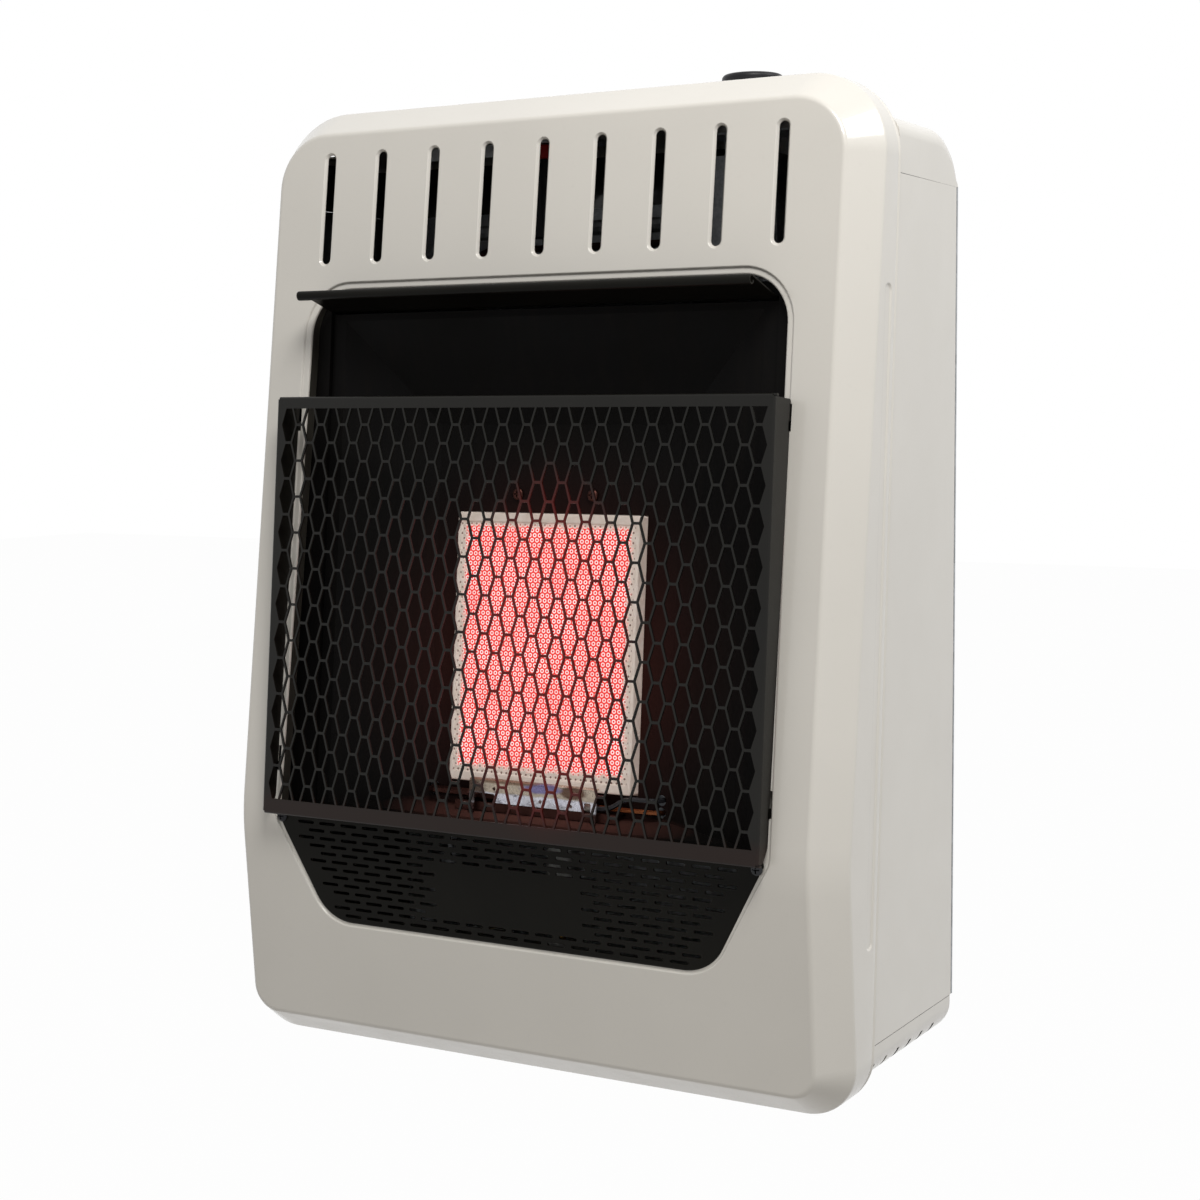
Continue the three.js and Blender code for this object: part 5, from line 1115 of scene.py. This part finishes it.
def build_bottom_pan():
    sizes = bpy.context.scene.heater_sizes
    edge = sizes.pan_edge * 1000
    bend = sizes.rear_bend * 1000
    skin = Skin()
    top = SIDE_BOTTOM - GAP
    rows = [[(x, y, top) for x, y in pan_ring(0)]]
    for step in range(CORNER_STEPS + 1):
        turn = math.pi / 2 * step / CORNER_STEPS
        z = PAN_BOTTOM + edge * (1 - math.sin(turn))
        rows.append([(x, y, z) for x, y in pan_ring(edge * (1 - math.cos(turn)))])
    skin.strip(*rows, closed=False)
    tongue = -PAN_UPSTAND_DEPTH + bend
    width = UPSTAND_HALF_WIDTH
    front = -SEAM_BOTTOM_DEPTH + GAP
    outline = pan_ring(edge) + [(width, front), (width, tongue), (-width, tongue), (-width, front)]
    skin.patch([outline, circle(INLET_X, INLET_Y, INLET_HOLE)], lambda x, y: (x, y, PAN_BOTTOM))
    wall = -PAN_UPSTAND_DEPTH
    rise = [(tongue + 5, PAN_BOTTOM), (wall, PAN_BOTTOM), (wall, PAN_UPSTAND_TOP)]
    skin.across(width, rounded(rise, [0, bend, 0])[1:])
    piece = settle(skin.piece("bottom_pan_sheet", (0, 0, -1)), SHEET)
    cutters = []
    for i in range(PAN_SLOTS):
        y = -PAN_SLOT_REAR - i * PAN_SLOT_PITCH
        for side in (-1, 1):
            for inner, outer, bottom, top in (
                (PAN_SLOT_IN, edge * 0.8, -5, 3), (edge, -5, PAN_SLOT_FOOT, PAN_SLOT_RISE),
            ):
                ends = sorted((side * (CASE_HALF_WIDTH - inner), side * (CASE_HALF_WIDTH - outer)))
                low = (ends[0], y - PAN_SLOT_WIDTH / 2, PAN_BOTTOM + bottom)
                high = (ends[1], y + PAN_SLOT_WIDTH / 2, PAN_BOTTOM + top)
                cutters.append(block("pan_slot", low, high))
    settle(bored(piece, gather("pan_slots", cutters)))
    mounted(piece, "casing", "cream_enamel", coat("enamel"), "bottom_pan")


# Hearth


def build_heat_deflector():
    skin = Skin()
    behind, along = DEFLECTOR_PATH[-1]
    path = rounded(DEFLECTOR_PATH, [0, 6, 0])
    for step in range(1, 15):
        turn = math.radians(90 + 260 * step / 14)
        reach, rise = DEFLECTOR_HEM * math.cos(turn), DEFLECTOR_HEM * (math.sin(turn) - 1)
        path.append((behind + reach, along + rise))
    skin.across(DEFLECTOR_HALF_WIDTH, path, on_hearth)
    piece = settle(skin.piece("heat_deflector_sheet", (0, 0, 1)), 1.0, edge=0.25, smooth=50)
    mounted(piece, "casing", "satin_black", coat("satin black"), "heat_deflector")


def recess_half_width(z):
    """Half the width of the recess between its foot and its widest place."""
    return between(RECESS[1][1], RECESS[2][1], z, RECESS[1][0], RECESS[2][0])


def grille_slots():
    sizes = bpy.context.scene.heater_sizes
    length = sizes.grille_slot_length * 1000
    height = sizes.grille_slot_height * 1000
    pitch = length + sizes.grille_land * 1000
    slots = []
    for row in range(sizes.grille_rows):
        z = GRILLE_FIRST_ROW + row * sizes.grille_row_pitch * 1000
        reach = recess_half_width(z) - GRILLE_MARGIN
        count = int(reach / pitch) + 1
        for i in range(-count, count + 1):
            x = (i + (row % 2) / 2) * pitch
            bare = BARE_BOTTOM - 3 < z < BARE_TOP + 3 and abs(x) < BARE_HALF_WIDTH + length / 2
            screw = any(
                math.hypot(max(abs(x - screw_x) - length / 2, 0), z - screw_z) < 5
                for screw_x, screw_z in GRILLE_SCREWS
            )
            inside = abs(x) + length / 2 < reach and z + height < GRILLE_TOP - 1
            if inside and not bare and not screw:
                low, high = z - height / 2, z + height / 2
                corners = rectangle(x - length / 2, x + length / 2, low, high)
                slots.append(rounded(corners, [height / 2 - 0.05] * 4, 2))
    return slots


def build_grille():
    skin = Skin()
    top = GRILLE_TOP + GRILLE_ROOM
    half = recess_half_width(GRILLE_TOP)
    corners = [*RECESS[:2], (half, top), (-half, top)]
    bend = [(-GRILLE_ROOM - growth, depth) for growth, depth in roll(GRILLE_EDGE)]
    folds = [height for height in kink_heights() if height < GRILLE_TOP - 1]
    rings = []
    for by, _ in bend:
        foot, head = RECESS_FOOT_CORNER + by, GRILLE_CORNER + by
        rings.append(rounded(grown(corners, by), [foot, foot, head, head], CORNER_STEPS))
    rings = with_folds(rings, folds)
    skin.strip(*on_face(rings, [GRILLE_SINK + depth for _, depth in bend]))
    holes = grille_slots() + [circle(x, z, SCREW_HOLE, 16) for x, z in GRILLE_SCREWS]
    skin.patch([rings[0], *holes], lambda x, z: (x, face_y(z) + GRILLE_SINK, z), folds)
    piece = settle(skin.piece("grille_sheet", (0, -1, 0)), SHEET)
    mounted(piece, "casing", "satin_black", coat("satin black"), "louvre_panel")


def net_holes(low, high, side):
    """Holes of the expanded mesh, cut straight at its strips."""
    sizes = bpy.context.scene.heater_sizes
    pitch = sizes.net_pitch * 1000
    rise = sizes.net_rise * 1000
    strand = sizes.net_strand * 1000
    link = sizes.net_link * 500
    waist = pitch / 2 - link
    hexagon = grown([
        (waist, 0), (link, rise - 0.2), (-link, rise - 0.2),
        (-waist, 0), (-link, 0.2 - rise), (link, 0.2 - rise),
    ], -strand / 2)
    holes = []
    for row in range(NET_ROWS):
        height = NET_FIRST_ROW - row * rise
        first = NET_FIRST_COLUMN - row % 2 * pitch / 2
        for column in range(NET_COLUMNS):
            centre = Vector((first + column * pitch, height))
            hole = clipped([point + centre for point in hexagon], low, high, 1)
            hole = clipped(hole, -side, side, 0) if hole else []
            if len(hole) > 2 and max(p.y for p in hole) - min(p.y for p in hole) > 2:
                holes.append(hole)
    return holes


def build_guard():
    bend = bpy.context.scene.heater_sizes.guard_bend * 1000
    half = GUARD_HALF_WIDTH
    skin = Skin()
    outline = rectangle(bend - half, half - bend, bend, GUARD_HEIGHT - bend)
    holes = net_holes(NET_FOOT, GUARD_HEIGHT - NET_HEAD, half - GUARD_BORDER)
    skin.patch([outline, *holes], lambda x, along: on_hearth(x, 0, along))
    turns = [math.pi / 2 * step / BEND_STEPS for step in range(BEND_STEPS + 1)]
    low, high = bend, GUARD_HEIGHT - bend
    for side in (-1, 1):
        rows = []
        for turn in turns:
            x = side * (half - bend + bend * math.sin(turn))
            behind = bend * (1 - math.cos(turn))
            rows.append([on_hearth(x, behind, low), on_hearth(x, behind, high)])
        skin.strip(*rows, closed=False)
        rear_foot, rear_top = (
            face_on_hearth(FOOT_HEIGHT + z)[0] - GAP
            for z in (GUARD_FOOT_FLANGE_TOP, high * math.cos(LEAN))
        )
        flange = [
            (bend, low), (GUARD_FOOT_FLANGE, low), (rear_foot, GUARD_FOOT_FLANGE_TOP),
            (rear_top, high), (bend, high),
        ]
        flange = rounded(flange, [0, 2, 4, 2, 0])
        skin.patch([flange], lambda behind, along: on_hearth(side * half, behind, along))
    for sign, edge in ((1, GUARD_HEIGHT), (-1, 0)):
        path = [
            (bend * (1 - math.cos(turn)), edge - sign * bend * (1 - math.sin(turn)))
            for turn in turns
        ]
        skin.across(half - bend, path, on_hearth)
        hem = [
            (bend - half, bend), (half - bend, bend), (half, bend + 0.8),
            (half, GUARD_HEM), (-half, GUARD_HEM), (-half, bend + 0.8),
        ]
        skin.patch([hem], lambda x, behind: on_hearth(x, behind, edge))
    sheet = skin.piece("guard_sheet", (0, -1, 0))
    settle(sheet, SHEET, edge=0.26, smooth=50)
    hooks = []
    for tongue in HOOK_TONGUES:
        front, foot = face_on_hearth(tongue)
        leg = face_on_hearth(tongue + HOOK_TONGUE_HEIGHT)[0] + RECESS_DEPTH + SHEET + HOOK_CLEAR
        rear = leg + 2 * SHEET
        top = foot + HOOK_TONGUE_HEIGHT
        blade = [
            (front - 2, foot), (leg, foot), (leg, foot - HOOK_LEG),
            (rear, foot - HOOK_LEG), (rear, top), (front - 2, top),
        ]
        blade = rounded(blade, [0, 0.5, 1, 1, 3, 0], 3)
        for side in (-1, 1):
            hook = Skin()
            hook.patch([blade], lambda behind, along: on_hearth(side * half, behind, along))
            hook = hook.piece("guard_hook", (side, 0, 0))
            hooks.append(settle(hook, SHEET, edge=0.15, smooth=50))
    guard = settle(gather("guard_mesh_sheet", [sheet, *hooks]), smooth=50)
    mounted(guard, "guard", "satin_black", coat("guard black"), "guard")


def build_plaque():
    skin = Skin()

    def ring(side, end):
        half = PLAQUE_HALF_WIDTH - side
        corners = rectangle(-half, half, PLAQUE_BOTTOM + end, PLAQUE_TOP - end)
        return rounded(corners, [1.4] * 4, 4)

    front = PLAQUE_FRONT
    side, end = PLAQUE_SIDE_RIM, PLAQUE_END_RIM
    steps = [
        (0, 0, front + PLAQUE_THICK), (0, 0, front + 0.9), (0.25, 0.25, front + 0.25),
        (0.9, 0.9, front), (side, end, front), (side + 0.3, end + 0.3, front + 0.2),
        (side + 0.7, end + 0.7, front + PLAQUE_SINK),
    ]
    skin.strip(*[
        [on_hearth(x, behind, along) for x, along in ring(a, b)]
        for a, b, behind in steps
    ])
    for a, b, behind in (steps[0], steps[-1]):
        skin.patch([ring(a, b)], lambda x, along: on_hearth(x, behind, along))
    piece = settle(skin.piece("plaque_block", (0, -1, 0)), smooth=50)
    mounted(piece, "casing", "plaque_ceramic", coat("ceramic"), "ceramic_plaque")


def build_pilot_shield():
    skin = Skin()
    half, front, top = SHIELD_HALF_WIDTH, SHIELD_FRONT, SHIELD_TOP
    foot = between(35, 56, 42.2, 6, 12) + 0.35
    corners = [
        (-half, foot), (-40.5, foot), (-40.5, 20.5), (-26, 20.5), (-26, 15.2), (36, 15.2),
        (36, 20.5), (40.5, 20.5), (40.5, foot), (half, foot), (half, top), (-half, top),
    ]
    outline = rounded(corners, [0.6, 0.6, 1, 1, 1.5, 1.5, 1, 1, 0.6, 0.6, 0, 0], 3)
    places = ((-26.5, 23.5), (6, 18.5), (8.5, 17.4), (27, 17.6))
    holes = [circle(x, along, 1.1, 16) for x, along in places]
    skin.patch([outline, *holes], lambda x, along: on_hearth(x, front, along))
    lip = rounded([(front, top - 2.8), (front, top + 0.8), (front + 3, top + 1.6)], [0, 0.8, 0])[1:]
    skin.across(half, lip, on_hearth)
    piece = settle(skin.piece("pilot_shield_sheet", (0, -1, 0)), 1.0, edge=0.15)
    mounted(piece, "casing", "galvanised_sheet", coat("stained shield"), "pilot_shield")


def pan_screw(name, place, finish, node):
    """A pan-head screw with a cross recess; place takes X, height over the seat and Z."""
    profile = [
        (0.001, -7), (1.2, -7), (1.8, -6), (1.8, 0), (3.6, 0),
        (3.6, 0.7), (3.3, 1.3), (2.5, 1.75), (1.3, 1.97), (0.001, 2),
    ]

    def upright(x, z, height):
        return place(x, height, z)

    head = turned("screw_head", profile, upright, 32)
    for wide, tall in ((2.1, 0.42), (0.42, 2.1)):
        bored(head, block("recess", (-wide, -tall, 0.7), (wide, tall, 3), upright))
    head.name = name
    settle(head)
    mounted(head, "casing", "plated_steel", coat(finish), node)


def build_screws():
    seat = face_y(GRILLE_SCREW_Z) + GRILLE_SINK
    for side, word in ((-1, "left"), (1, "right")):
        def on_grille(x, height, z):
            return (side * GRILLE_SCREW_X + x, seat - height, GRILLE_SCREW_Z + z)

        def on_burner(x, height, z):
            behind = BURNER_SCREW_SEAT - GAP - height
            return on_hearth(side * BURNER_SCREW_X + x, behind, BURNER_SCREW_HEIGHT + z)

        pan_screw(f"grille_screw_{word}", on_grille, "blacked steel", f"louvre_screw_{word}")
        pan_screw(f"burner_screw_{word}", on_burner, "burnt steel", f"reflector_screw_{word}")


# Controls


def build_knob():
    def place(x, y, z):
        return (VALVE_X + x, VALVE_Y + y, z)

    foot, top = KNOB_FOOT, KNOB_TOP
    outside = [
        (16, foot), (KNOB_RADIUS, foot), (KNOB_RADIUS, top),
        (13.4, top), (12.6, top - 0.7), (0.001, top - 0.7),
    ]
    hollow = [(0.001, top - 2.6), (15.6, top - 2.6), (15.6, foot)]
    profile = hollow + rounded(outside, [0, 0.6, 2.6, 0.5, 0.5, 0])
    body = turned("knob_body", profile, place, 72, 50)
    rib = settle(block("knob_rib", (-1.6, -13, top - 1.3), (1.6, 3, top), place), edge=0.35)
    knob = settle(gather("control_knob_moulding", [body, rib]), smooth=50)
    mounted(knob, "knob", "black_plastic", coat("black plastic"), "control_knob")


def build_igniter():
    def place(x, y, z):
        return (IGNITER_X + x, IGNITER_Y + y, z)

    radius, foot = BUTTON_RADIUS, BUTTON_FOOT
    cap = [(0.001, 574.2), (3.6, 574.3), (4.4, 575), (radius, 575), (radius, foot)]
    cap = rounded(cap, [0, 0.8, 0.4, 0.7, 0])[:-1]
    profile = [(0.001, foot), (radius, foot), *reversed(cap)]
    button = turned("igniter_push_button", profile, place)
    mounted(button, "button", "black_plastic", coat("black plastic"), "igniter_button")

    radius = BARREL_RADIUS
    collar = [(radius, 556.8), (11, 556.8), (11, 560.8), (6, 560.8), (6, 529.7), (0.001, 529.7)]
    profile = [(0.001, 498), (radius, 498)] + rounded(collar, [0, 0.3, 1.2, 0.4, 0, 0])
    barrel = turned("igniter_barrel", profile, place)
    mounted(barrel, "casing", "black_plastic", coat("black plastic"), "igniter_body")

    def knurled(x, y, z):
        radius = math.hypot(x, y)
        wave = 1 - 0.035 * (0.5 + 0.5 * math.cos(18 * math.atan2(y, x))) if radius > 10 else 1
        return place(x * wave, y * wave, z)

    ring = rounded(rectangle(NUT_HOLE, NUT_RADIUS, NUT_FOOT, NUT_TOP), [0, 0.8, 0.8, 0])
    nut = turned("igniter_knurled_nut", ring + [(NUT_HOLE, NUT_FOOT)], knurled, 144, 50)
    mounted(nut, "casing", "red_plastic", coat("red plastic"), "igniter_nut")


# CAD parts that keep their shape

KEPT = {
    "firebox black": ["firebox_shell"],
    "glow painted black": ["reflector"],
    "galvanised": [
        "back_panel", "firebox_bracket_left", "firebox_bracket_right", "regulator_stand",
        "valve_bracket", "blank_plate",
    ],
    "fibre": ["plaque_gasket"],
    "aluminised": ["burner_box", "venturi_tube", "injector_carrier"],
    "aluminium": ["regulator", "gas_valve_body", "inlet_gas_tube", "burner_gas_tube"],
    "brass": ["inlet_fitting", "valve_plug", "gas_injector"],
    "copper": ["thermocouple_lead"],
    "burnt steel": ["pilot_burner", "pilot_gas_tube", "thermocouple", "pilot_bracket"],
    "plated steel": ["valve_stem"],
    "porcelain": ["spark_electrode"],
    "sleeve": ["igniter_lead"],
}


def finish_kept_parts():
    for finish, nodes in KEPT.items():
        for node in nodes:
            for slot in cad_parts[node].material_slots:
                slot.material = coat(finish)


# Studio


def build_camera():
    """A camera where the photograph was taken from, on the heater's right."""
    yaw, pitch, tilt = CAMERA_YAW, CAMERA_PITCH, CAMERA_TILT
    reach = math.cos(pitch)
    ahead = Vector((-math.sin(yaw) * reach, math.cos(yaw) * reach, -math.sin(pitch)))
    right = Vector((math.cos(yaw), math.sin(yaw), 0))
    up = right.cross(ahead)
    turned_right = right * math.cos(tilt) + up * math.sin(tilt)
    turned_up = up * math.cos(tilt) - right * math.sin(tilt)
    data = bpy.data.cameras.new("camera")
    data.lens = CAMERA_LENS
    data.sensor_width = 36
    data.shift_y = CAMERA_SHIFT
    data.clip_start = 0.01
    camera = placed("camera", data)
    turn = Matrix((turned_right, turned_up, -ahead)).transposed()
    camera.matrix_world = Matrix.Translation(at(*CAMERA_PLACE)) @ turn.to_4x4()
    bpy.context.scene.camera = camera


def build_lamp(name, place, power, size, colour):
    data = bpy.data.lights.new(name, "AREA")
    data.energy = power
    data.size = size
    data.color = colour
    lamp = placed(name, data)
    lamp.location = place
    lamp.rotation_euler = (Vector(LAMP_AIM) - Vector(place)).to_track_quat("-Z", "Y").to_euler()


def seen_white(tree):
    """One where a ray comes from the camera, a reflection or a pane; elsewhere zero."""
    path = tree.nodes.new("ShaderNodeLightPath")
    share = path.outputs["Is Camera Ray"]
    for name in ("Is Glossy Ray", "Is Transmission Ray"):
        either = tree.nodes.new("ShaderNodeMath")
        either.operation = "MAXIMUM"
        tree.links.new(share, either.inputs[0])
        tree.links.new(path.outputs[name], either.inputs[1])
        share = either.outputs[0]
    return share


def build_air(ambient):
    """White air behind the heater, which lights it only as strongly as the even light."""
    world = bpy.data.worlds.new("studio_air")
    world.use_nodes = True
    tree = world.node_tree
    air = tree.nodes["Background"]
    strength = tree.nodes.new("ShaderNodeMapRange")
    tree.links.new(seen_white(tree), strength.inputs["Value"])
    strength.inputs["To Min"].default_value = ambient
    strength.inputs["To Max"].default_value = 1.0
    tree.links.new(strength.outputs[0], air.inputs["Strength"])
    air.inputs["Color"].default_value = (1, 1, 1, 1)
    bpy.context.scene.world = world


def pale_floor():
    """Floor that looks nearly white and sends little light back up."""
    material = bpy.data.materials.new("pale_floor")
    material.use_nodes = True
    tree = material.node_tree
    tree.nodes.clear()
    matt = tree.nodes.new("ShaderNodeBsdfDiffuse")
    matt.inputs["Color"].default_value = FLOOR_COLOUR
    glow = tree.nodes.new("ShaderNodeEmission")
    glow.inputs["Strength"].default_value = 1.0
    share = tree.nodes.new("ShaderNodeMath")
    share.operation = "MULTIPLY"
    tree.links.new(seen_white(tree), share.inputs[0])
    share.inputs[1].default_value = FLOOR_WHITE
    mix = tree.nodes.new("ShaderNodeMixShader")
    for socket, part in enumerate((share, matt, glow)):
        tree.links.new(part.outputs[0], mix.inputs[socket])
    out = tree.nodes.new("ShaderNodeOutputMaterial")
    tree.links.new(mix.outputs[0], out.inputs["Surface"])
    return material


def build_studio():
    studio = bpy.context.scene.heater_studio
    bpy.context.scene.view_settings.view_transform = "Standard"
    build_air(studio.ambient)
    half = FLOOR_HALF_WIDTH
    height = metres(-HANG_HEIGHT - FLOOR_DROP)
    corners = [(x, y, height) for x, y in rectangle(-half, half, -half, half)]
    mesh = bpy.data.meshes.new("studio_floor")
    mesh.from_pydata(corners, [], [(0, 1, 2, 3)])
    mesh.materials.append(pale_floor())
    placed("studio_floor", mesh)
    build_lamp("front_softbox", (0.62, -0.88, 1.0), studio.front_power, 0.5, (1.0, 0.985, 0.96))
    build_lamp("side_softbox", (1.26, 0.06, 1.04), studio.side_power, 0.6, (0.97, 0.985, 1.0))
    build_camera()


# Settings


def length(name, description, default, least):
    return FloatProperty(
        name=name, description=description, default=default, min=least,
        unit="LENGTH", subtype="DISTANCE")


class HeaterSizes(bpy.types.PropertyGroup):
    kink_bend: length(
        "Kink bend", "Half the height over which the front bends at its kink", 0.014, 0.001)
    face_fillet: length(
        "Chamfer fillet", "Radius where the chamfer meets the face and the returns", 0.0040, 0.0005)
    joggle: length(
        "Joggle", "Radius at the step between the face and the opening's recessed border",
        0.00135, 0.00125)
    lip: length(
        "Opening lip", "Radius between the recessed border and the opening's flange",
        0.0013, 0.00125)
    slot_lip: length("Slot lip", "Width of the drawn lips of the warm-air slots", 0.0016, 0.0005)
    rear_bend: length(
        "Sheet bend", "Outside radius of the plain bends of the casing", 0.0015, 0.0013)
    cheek_edge: length("Cover edge", "Radius between the top cover and its cheeks", 0.0120, 0.0015)
    pan_edge: length("Pan edge", "Radius of the bottom pan's lower edge", 0.0170, 0.002)
    net_pitch: length("Mesh pitch", "Width of one cell of the guard's mesh", 0.01633, 0.004)
    net_rise: length(
        "Mesh rise", "Height from one row of the guard's mesh to the next", 0.0110, 0.003)
    net_strand: length("Mesh strand", "Width of a strand of the guard's mesh", 0.00118, 0.0005)
    net_link: length(
        "Mesh link", "Length of the short bars between the cells of the guard's mesh",
        0.0048, 0.001)
    guard_bend: length("Guard bend", "Outside radius of the guard's bends", 0.0016, 0.0013)
    grille_rows: IntProperty(
        name="Grille rows", description="Rows of fine slots in the lower grille", default=14, min=1)
    grille_row_pitch: length(
        "Grille row pitch", "Height from one row of grille slots to the next", 0.0047, 0.002)
    grille_slot_length: length("Grille slot length", "Length of a grille slot", 0.0120, 0.002)
    grille_slot_height: length("Grille slot height", "Height of a grille slot", 0.0020, 0.0005)
    grille_land: length(
        "Grille land", "Metal left between two grille slots of a row", 0.0040, 0.001)


class HeaterFinishes(bpy.types.PropertyGroup):
    enamel: FloatVectorProperty(
        name="Enamel", description="Colour of the casing's stoved enamel",
        default=tint("d6d2ca"), size=3, min=0, max=1, subtype="COLOR")
    black_coat: FloatVectorProperty(
        name="Black coat", description="Colour of the guard, the hood and the grille",
        default=tint("141310"), size=3, min=0, max=1, subtype="COLOR")
    hole_pitch: FloatProperty(
        name="Plaque hole pitch", description="Distance between neighbouring holes of the plaque",
        default=0.00345, min=0.001, unit="LENGTH", subtype="DISTANCE")
    glow: FloatProperty(
        name="Plaque glow", description="How strongly the lit field of the plaque shines",
        default=1.05, min=0)


class HeaterStudio(bpy.types.PropertyGroup):
    ambient: FloatProperty(
        name="Ambient", description="Strength of the even light from all round",
        default=0.42, min=0)
    front_power: FloatProperty(
        name="Front lamp", description="Power of the softbox above in front on the right",
        default=14, min=0, unit="POWER")
    side_power: FloatProperty(
        name="Side lamp", description="Power of the softbox above on the right",
        default=8.5, min=0, unit="POWER")


# Operators and panel


class HEATER_OT_front_panel(bpy.types.Operator):
    """Fold the bowed front panel with its chamfer, its opening and its warm-air slots"""
    bl_idname = "heater.front_panel"
    bl_label = "Front panel"
    bl_options = {"REGISTER", "UNDO"}

    def execute(self, context):
        build_front_panel()
        return {"FINISHED"}


class HEATER_OT_side_panels(bpy.types.Operator):
    """Fold the two side panels"""
    bl_idname = "heater.side_panels"
    bl_label = "Side panels"
    bl_options = {"REGISTER", "UNDO"}

    def execute(self, context):
        build_side_panels()
        return {"FINISHED"}


class HEATER_OT_top_cover(bpy.types.Operator):
    """Press the top cover with its cheeks and its upstand"""
    bl_idname = "heater.top_cover"
    bl_label = "Top cover"
    bl_options = {"REGISTER", "UNDO"}

    def execute(self, context):
        build_top_cover()
        return {"FINISHED"}


class HEATER_OT_bottom_pan(bpy.types.Operator):
    """Press the bottom pan and cut its cooling slots"""
    bl_idname = "heater.bottom_pan"
    bl_label = "Bottom pan"
    bl_options = {"REGISTER", "UNDO"}

    def execute(self, context):
        build_bottom_pan()
        return {"FINISHED"}


class HEATER_OT_heat_deflector(bpy.types.Operator):
    """Fold the hood over the hearth with its rolled hem"""
    bl_idname = "heater.heat_deflector"
    bl_label = "Heat deflector"
    bl_options = {"REGISTER", "UNDO"}

    def execute(self, context):
        build_heat_deflector()
        return {"FINISHED"}


class HEATER_OT_grille(bpy.types.Operator):
    """Punch and bend the lower grille"""
    bl_idname = "heater.grille"
    bl_label = "Lower grille"
    bl_options = {"REGISTER", "UNDO"}

    def execute(self, context):
        build_grille()
        return {"FINISHED"}


class HEATER_OT_guard(bpy.types.Operator):
    """Expand and fold the lift-off guard with its four hooks"""
    bl_idname = "heater.guard"
    bl_label = "Guard"
    bl_options = {"REGISTER", "UNDO"}

    def execute(self, context):
        build_guard()
        return {"FINISHED"}


class HEATER_OT_plaque(bpy.types.Operator):
    """Form the ceramic plaque"""
    bl_idname = "heater.plaque"
    bl_label = "Ceramic plaque"
    bl_options = {"REGISTER", "UNDO"}

    def execute(self, context):
        build_plaque()
        return {"FINISHED"}


class HEATER_OT_pilot_shield(bpy.types.Operator):
    """Fold the shield in front of the pilot"""
    bl_idname = "heater.pilot_shield"
    bl_label = "Pilot shield"
    bl_options = {"REGISTER", "UNDO"}

    def execute(self, context):
        build_pilot_shield()
        return {"FINISHED"}


class HEATER_OT_screws(bpy.types.Operator):
    """Turn the four visible screws and recess their heads"""
    bl_idname = "heater.screws"
    bl_label = "Screws"
    bl_options = {"REGISTER", "UNDO"}

    def execute(self, context):
        build_screws()
        return {"FINISHED"}


class HEATER_OT_knob(bpy.types.Operator):
    """Mould the gas control knob"""
    bl_idname = "heater.knob"
    bl_label = "Control knob"
    bl_options = {"REGISTER", "UNDO"}

    def execute(self, context):
        build_knob()
        return {"FINISHED"}


class HEATER_OT_igniter(bpy.types.Operator):
    """Mould the igniter's barrel, push button and nut"""
    bl_idname = "heater.igniter"
    bl_label = "Igniter"
    bl_options = {"REGISTER", "UNDO"}

    def execute(self, context):
        build_igniter()
        return {"FINISHED"}


class HEATER_OT_kept_parts(bpy.types.Operator):
    """Finish the parts that keep their CAD shape"""
    bl_idname = "heater.kept_parts"
    bl_label = "Finish the other parts"
    bl_options = {"REGISTER", "UNDO"}

    def execute(self, context):
        finish_kept_parts()
        return {"FINISHED"}


class HEATER_OT_studio(bpy.types.Operator):
    """Set up the floor, the lamps and the camera"""
    bl_idname = "heater.studio"
    bl_label = "Studio"
    bl_options = {"REGISTER", "UNDO"}

    def execute(self, context):
        build_studio()
        return {"FINISHED"}


OPERATORS = (
    HEATER_OT_front_panel, HEATER_OT_side_panels, HEATER_OT_top_cover, HEATER_OT_bottom_pan,
    HEATER_OT_heat_deflector, HEATER_OT_grille, HEATER_OT_guard, HEATER_OT_plaque,
    HEATER_OT_pilot_shield, HEATER_OT_screws, HEATER_OT_knob, HEATER_OT_igniter,
    HEATER_OT_kept_parts, HEATER_OT_studio,
)


class HEATER_PT_build(bpy.types.Panel):
    bl_idname = "HEATER_PT_build"
    bl_label = "Infrared plaque heater"
    bl_space_type = "VIEW_3D"
    bl_region_type = "UI"
    bl_category = "Heater"

    def draw(self, context):
        scene = context.scene
        for group in (scene.heater_sizes, scene.heater_finishes, scene.heater_studio):
            column = self.layout.column(align=True)
            for name in group.__annotations__:
                column.prop(group, name)
        column = self.layout.column(align=True)
        for operator in OPERATORS:
            column.operator(operator.bl_idname)


CLASSES = (HeaterSizes, HeaterFinishes, HeaterStudio, *OPERATORS, HEATER_PT_build)


def register():
    for cls in CLASSES:
        bpy.utils.register_class(cls)
    bpy.types.Scene.heater_sizes = PointerProperty(type=HeaterSizes)
    bpy.types.Scene.heater_finishes = PointerProperty(type=HeaterFinishes)
    bpy.types.Scene.heater_studio = PointerProperty(type=HeaterStudio)


def unregister():
    del bpy.types.Scene.heater_studio
    del bpy.types.Scene.heater_finishes
    del bpy.types.Scene.heater_sizes
    for cls in reversed(CLASSES):
        bpy.utils.unregister_class(cls)


def main():
    register()
    for operator in OPERATORS:
        group, name = operator.bl_idname.split(".")
        getattr(getattr(bpy.ops, group), name)()


if __name__ == "__main__":
    main()
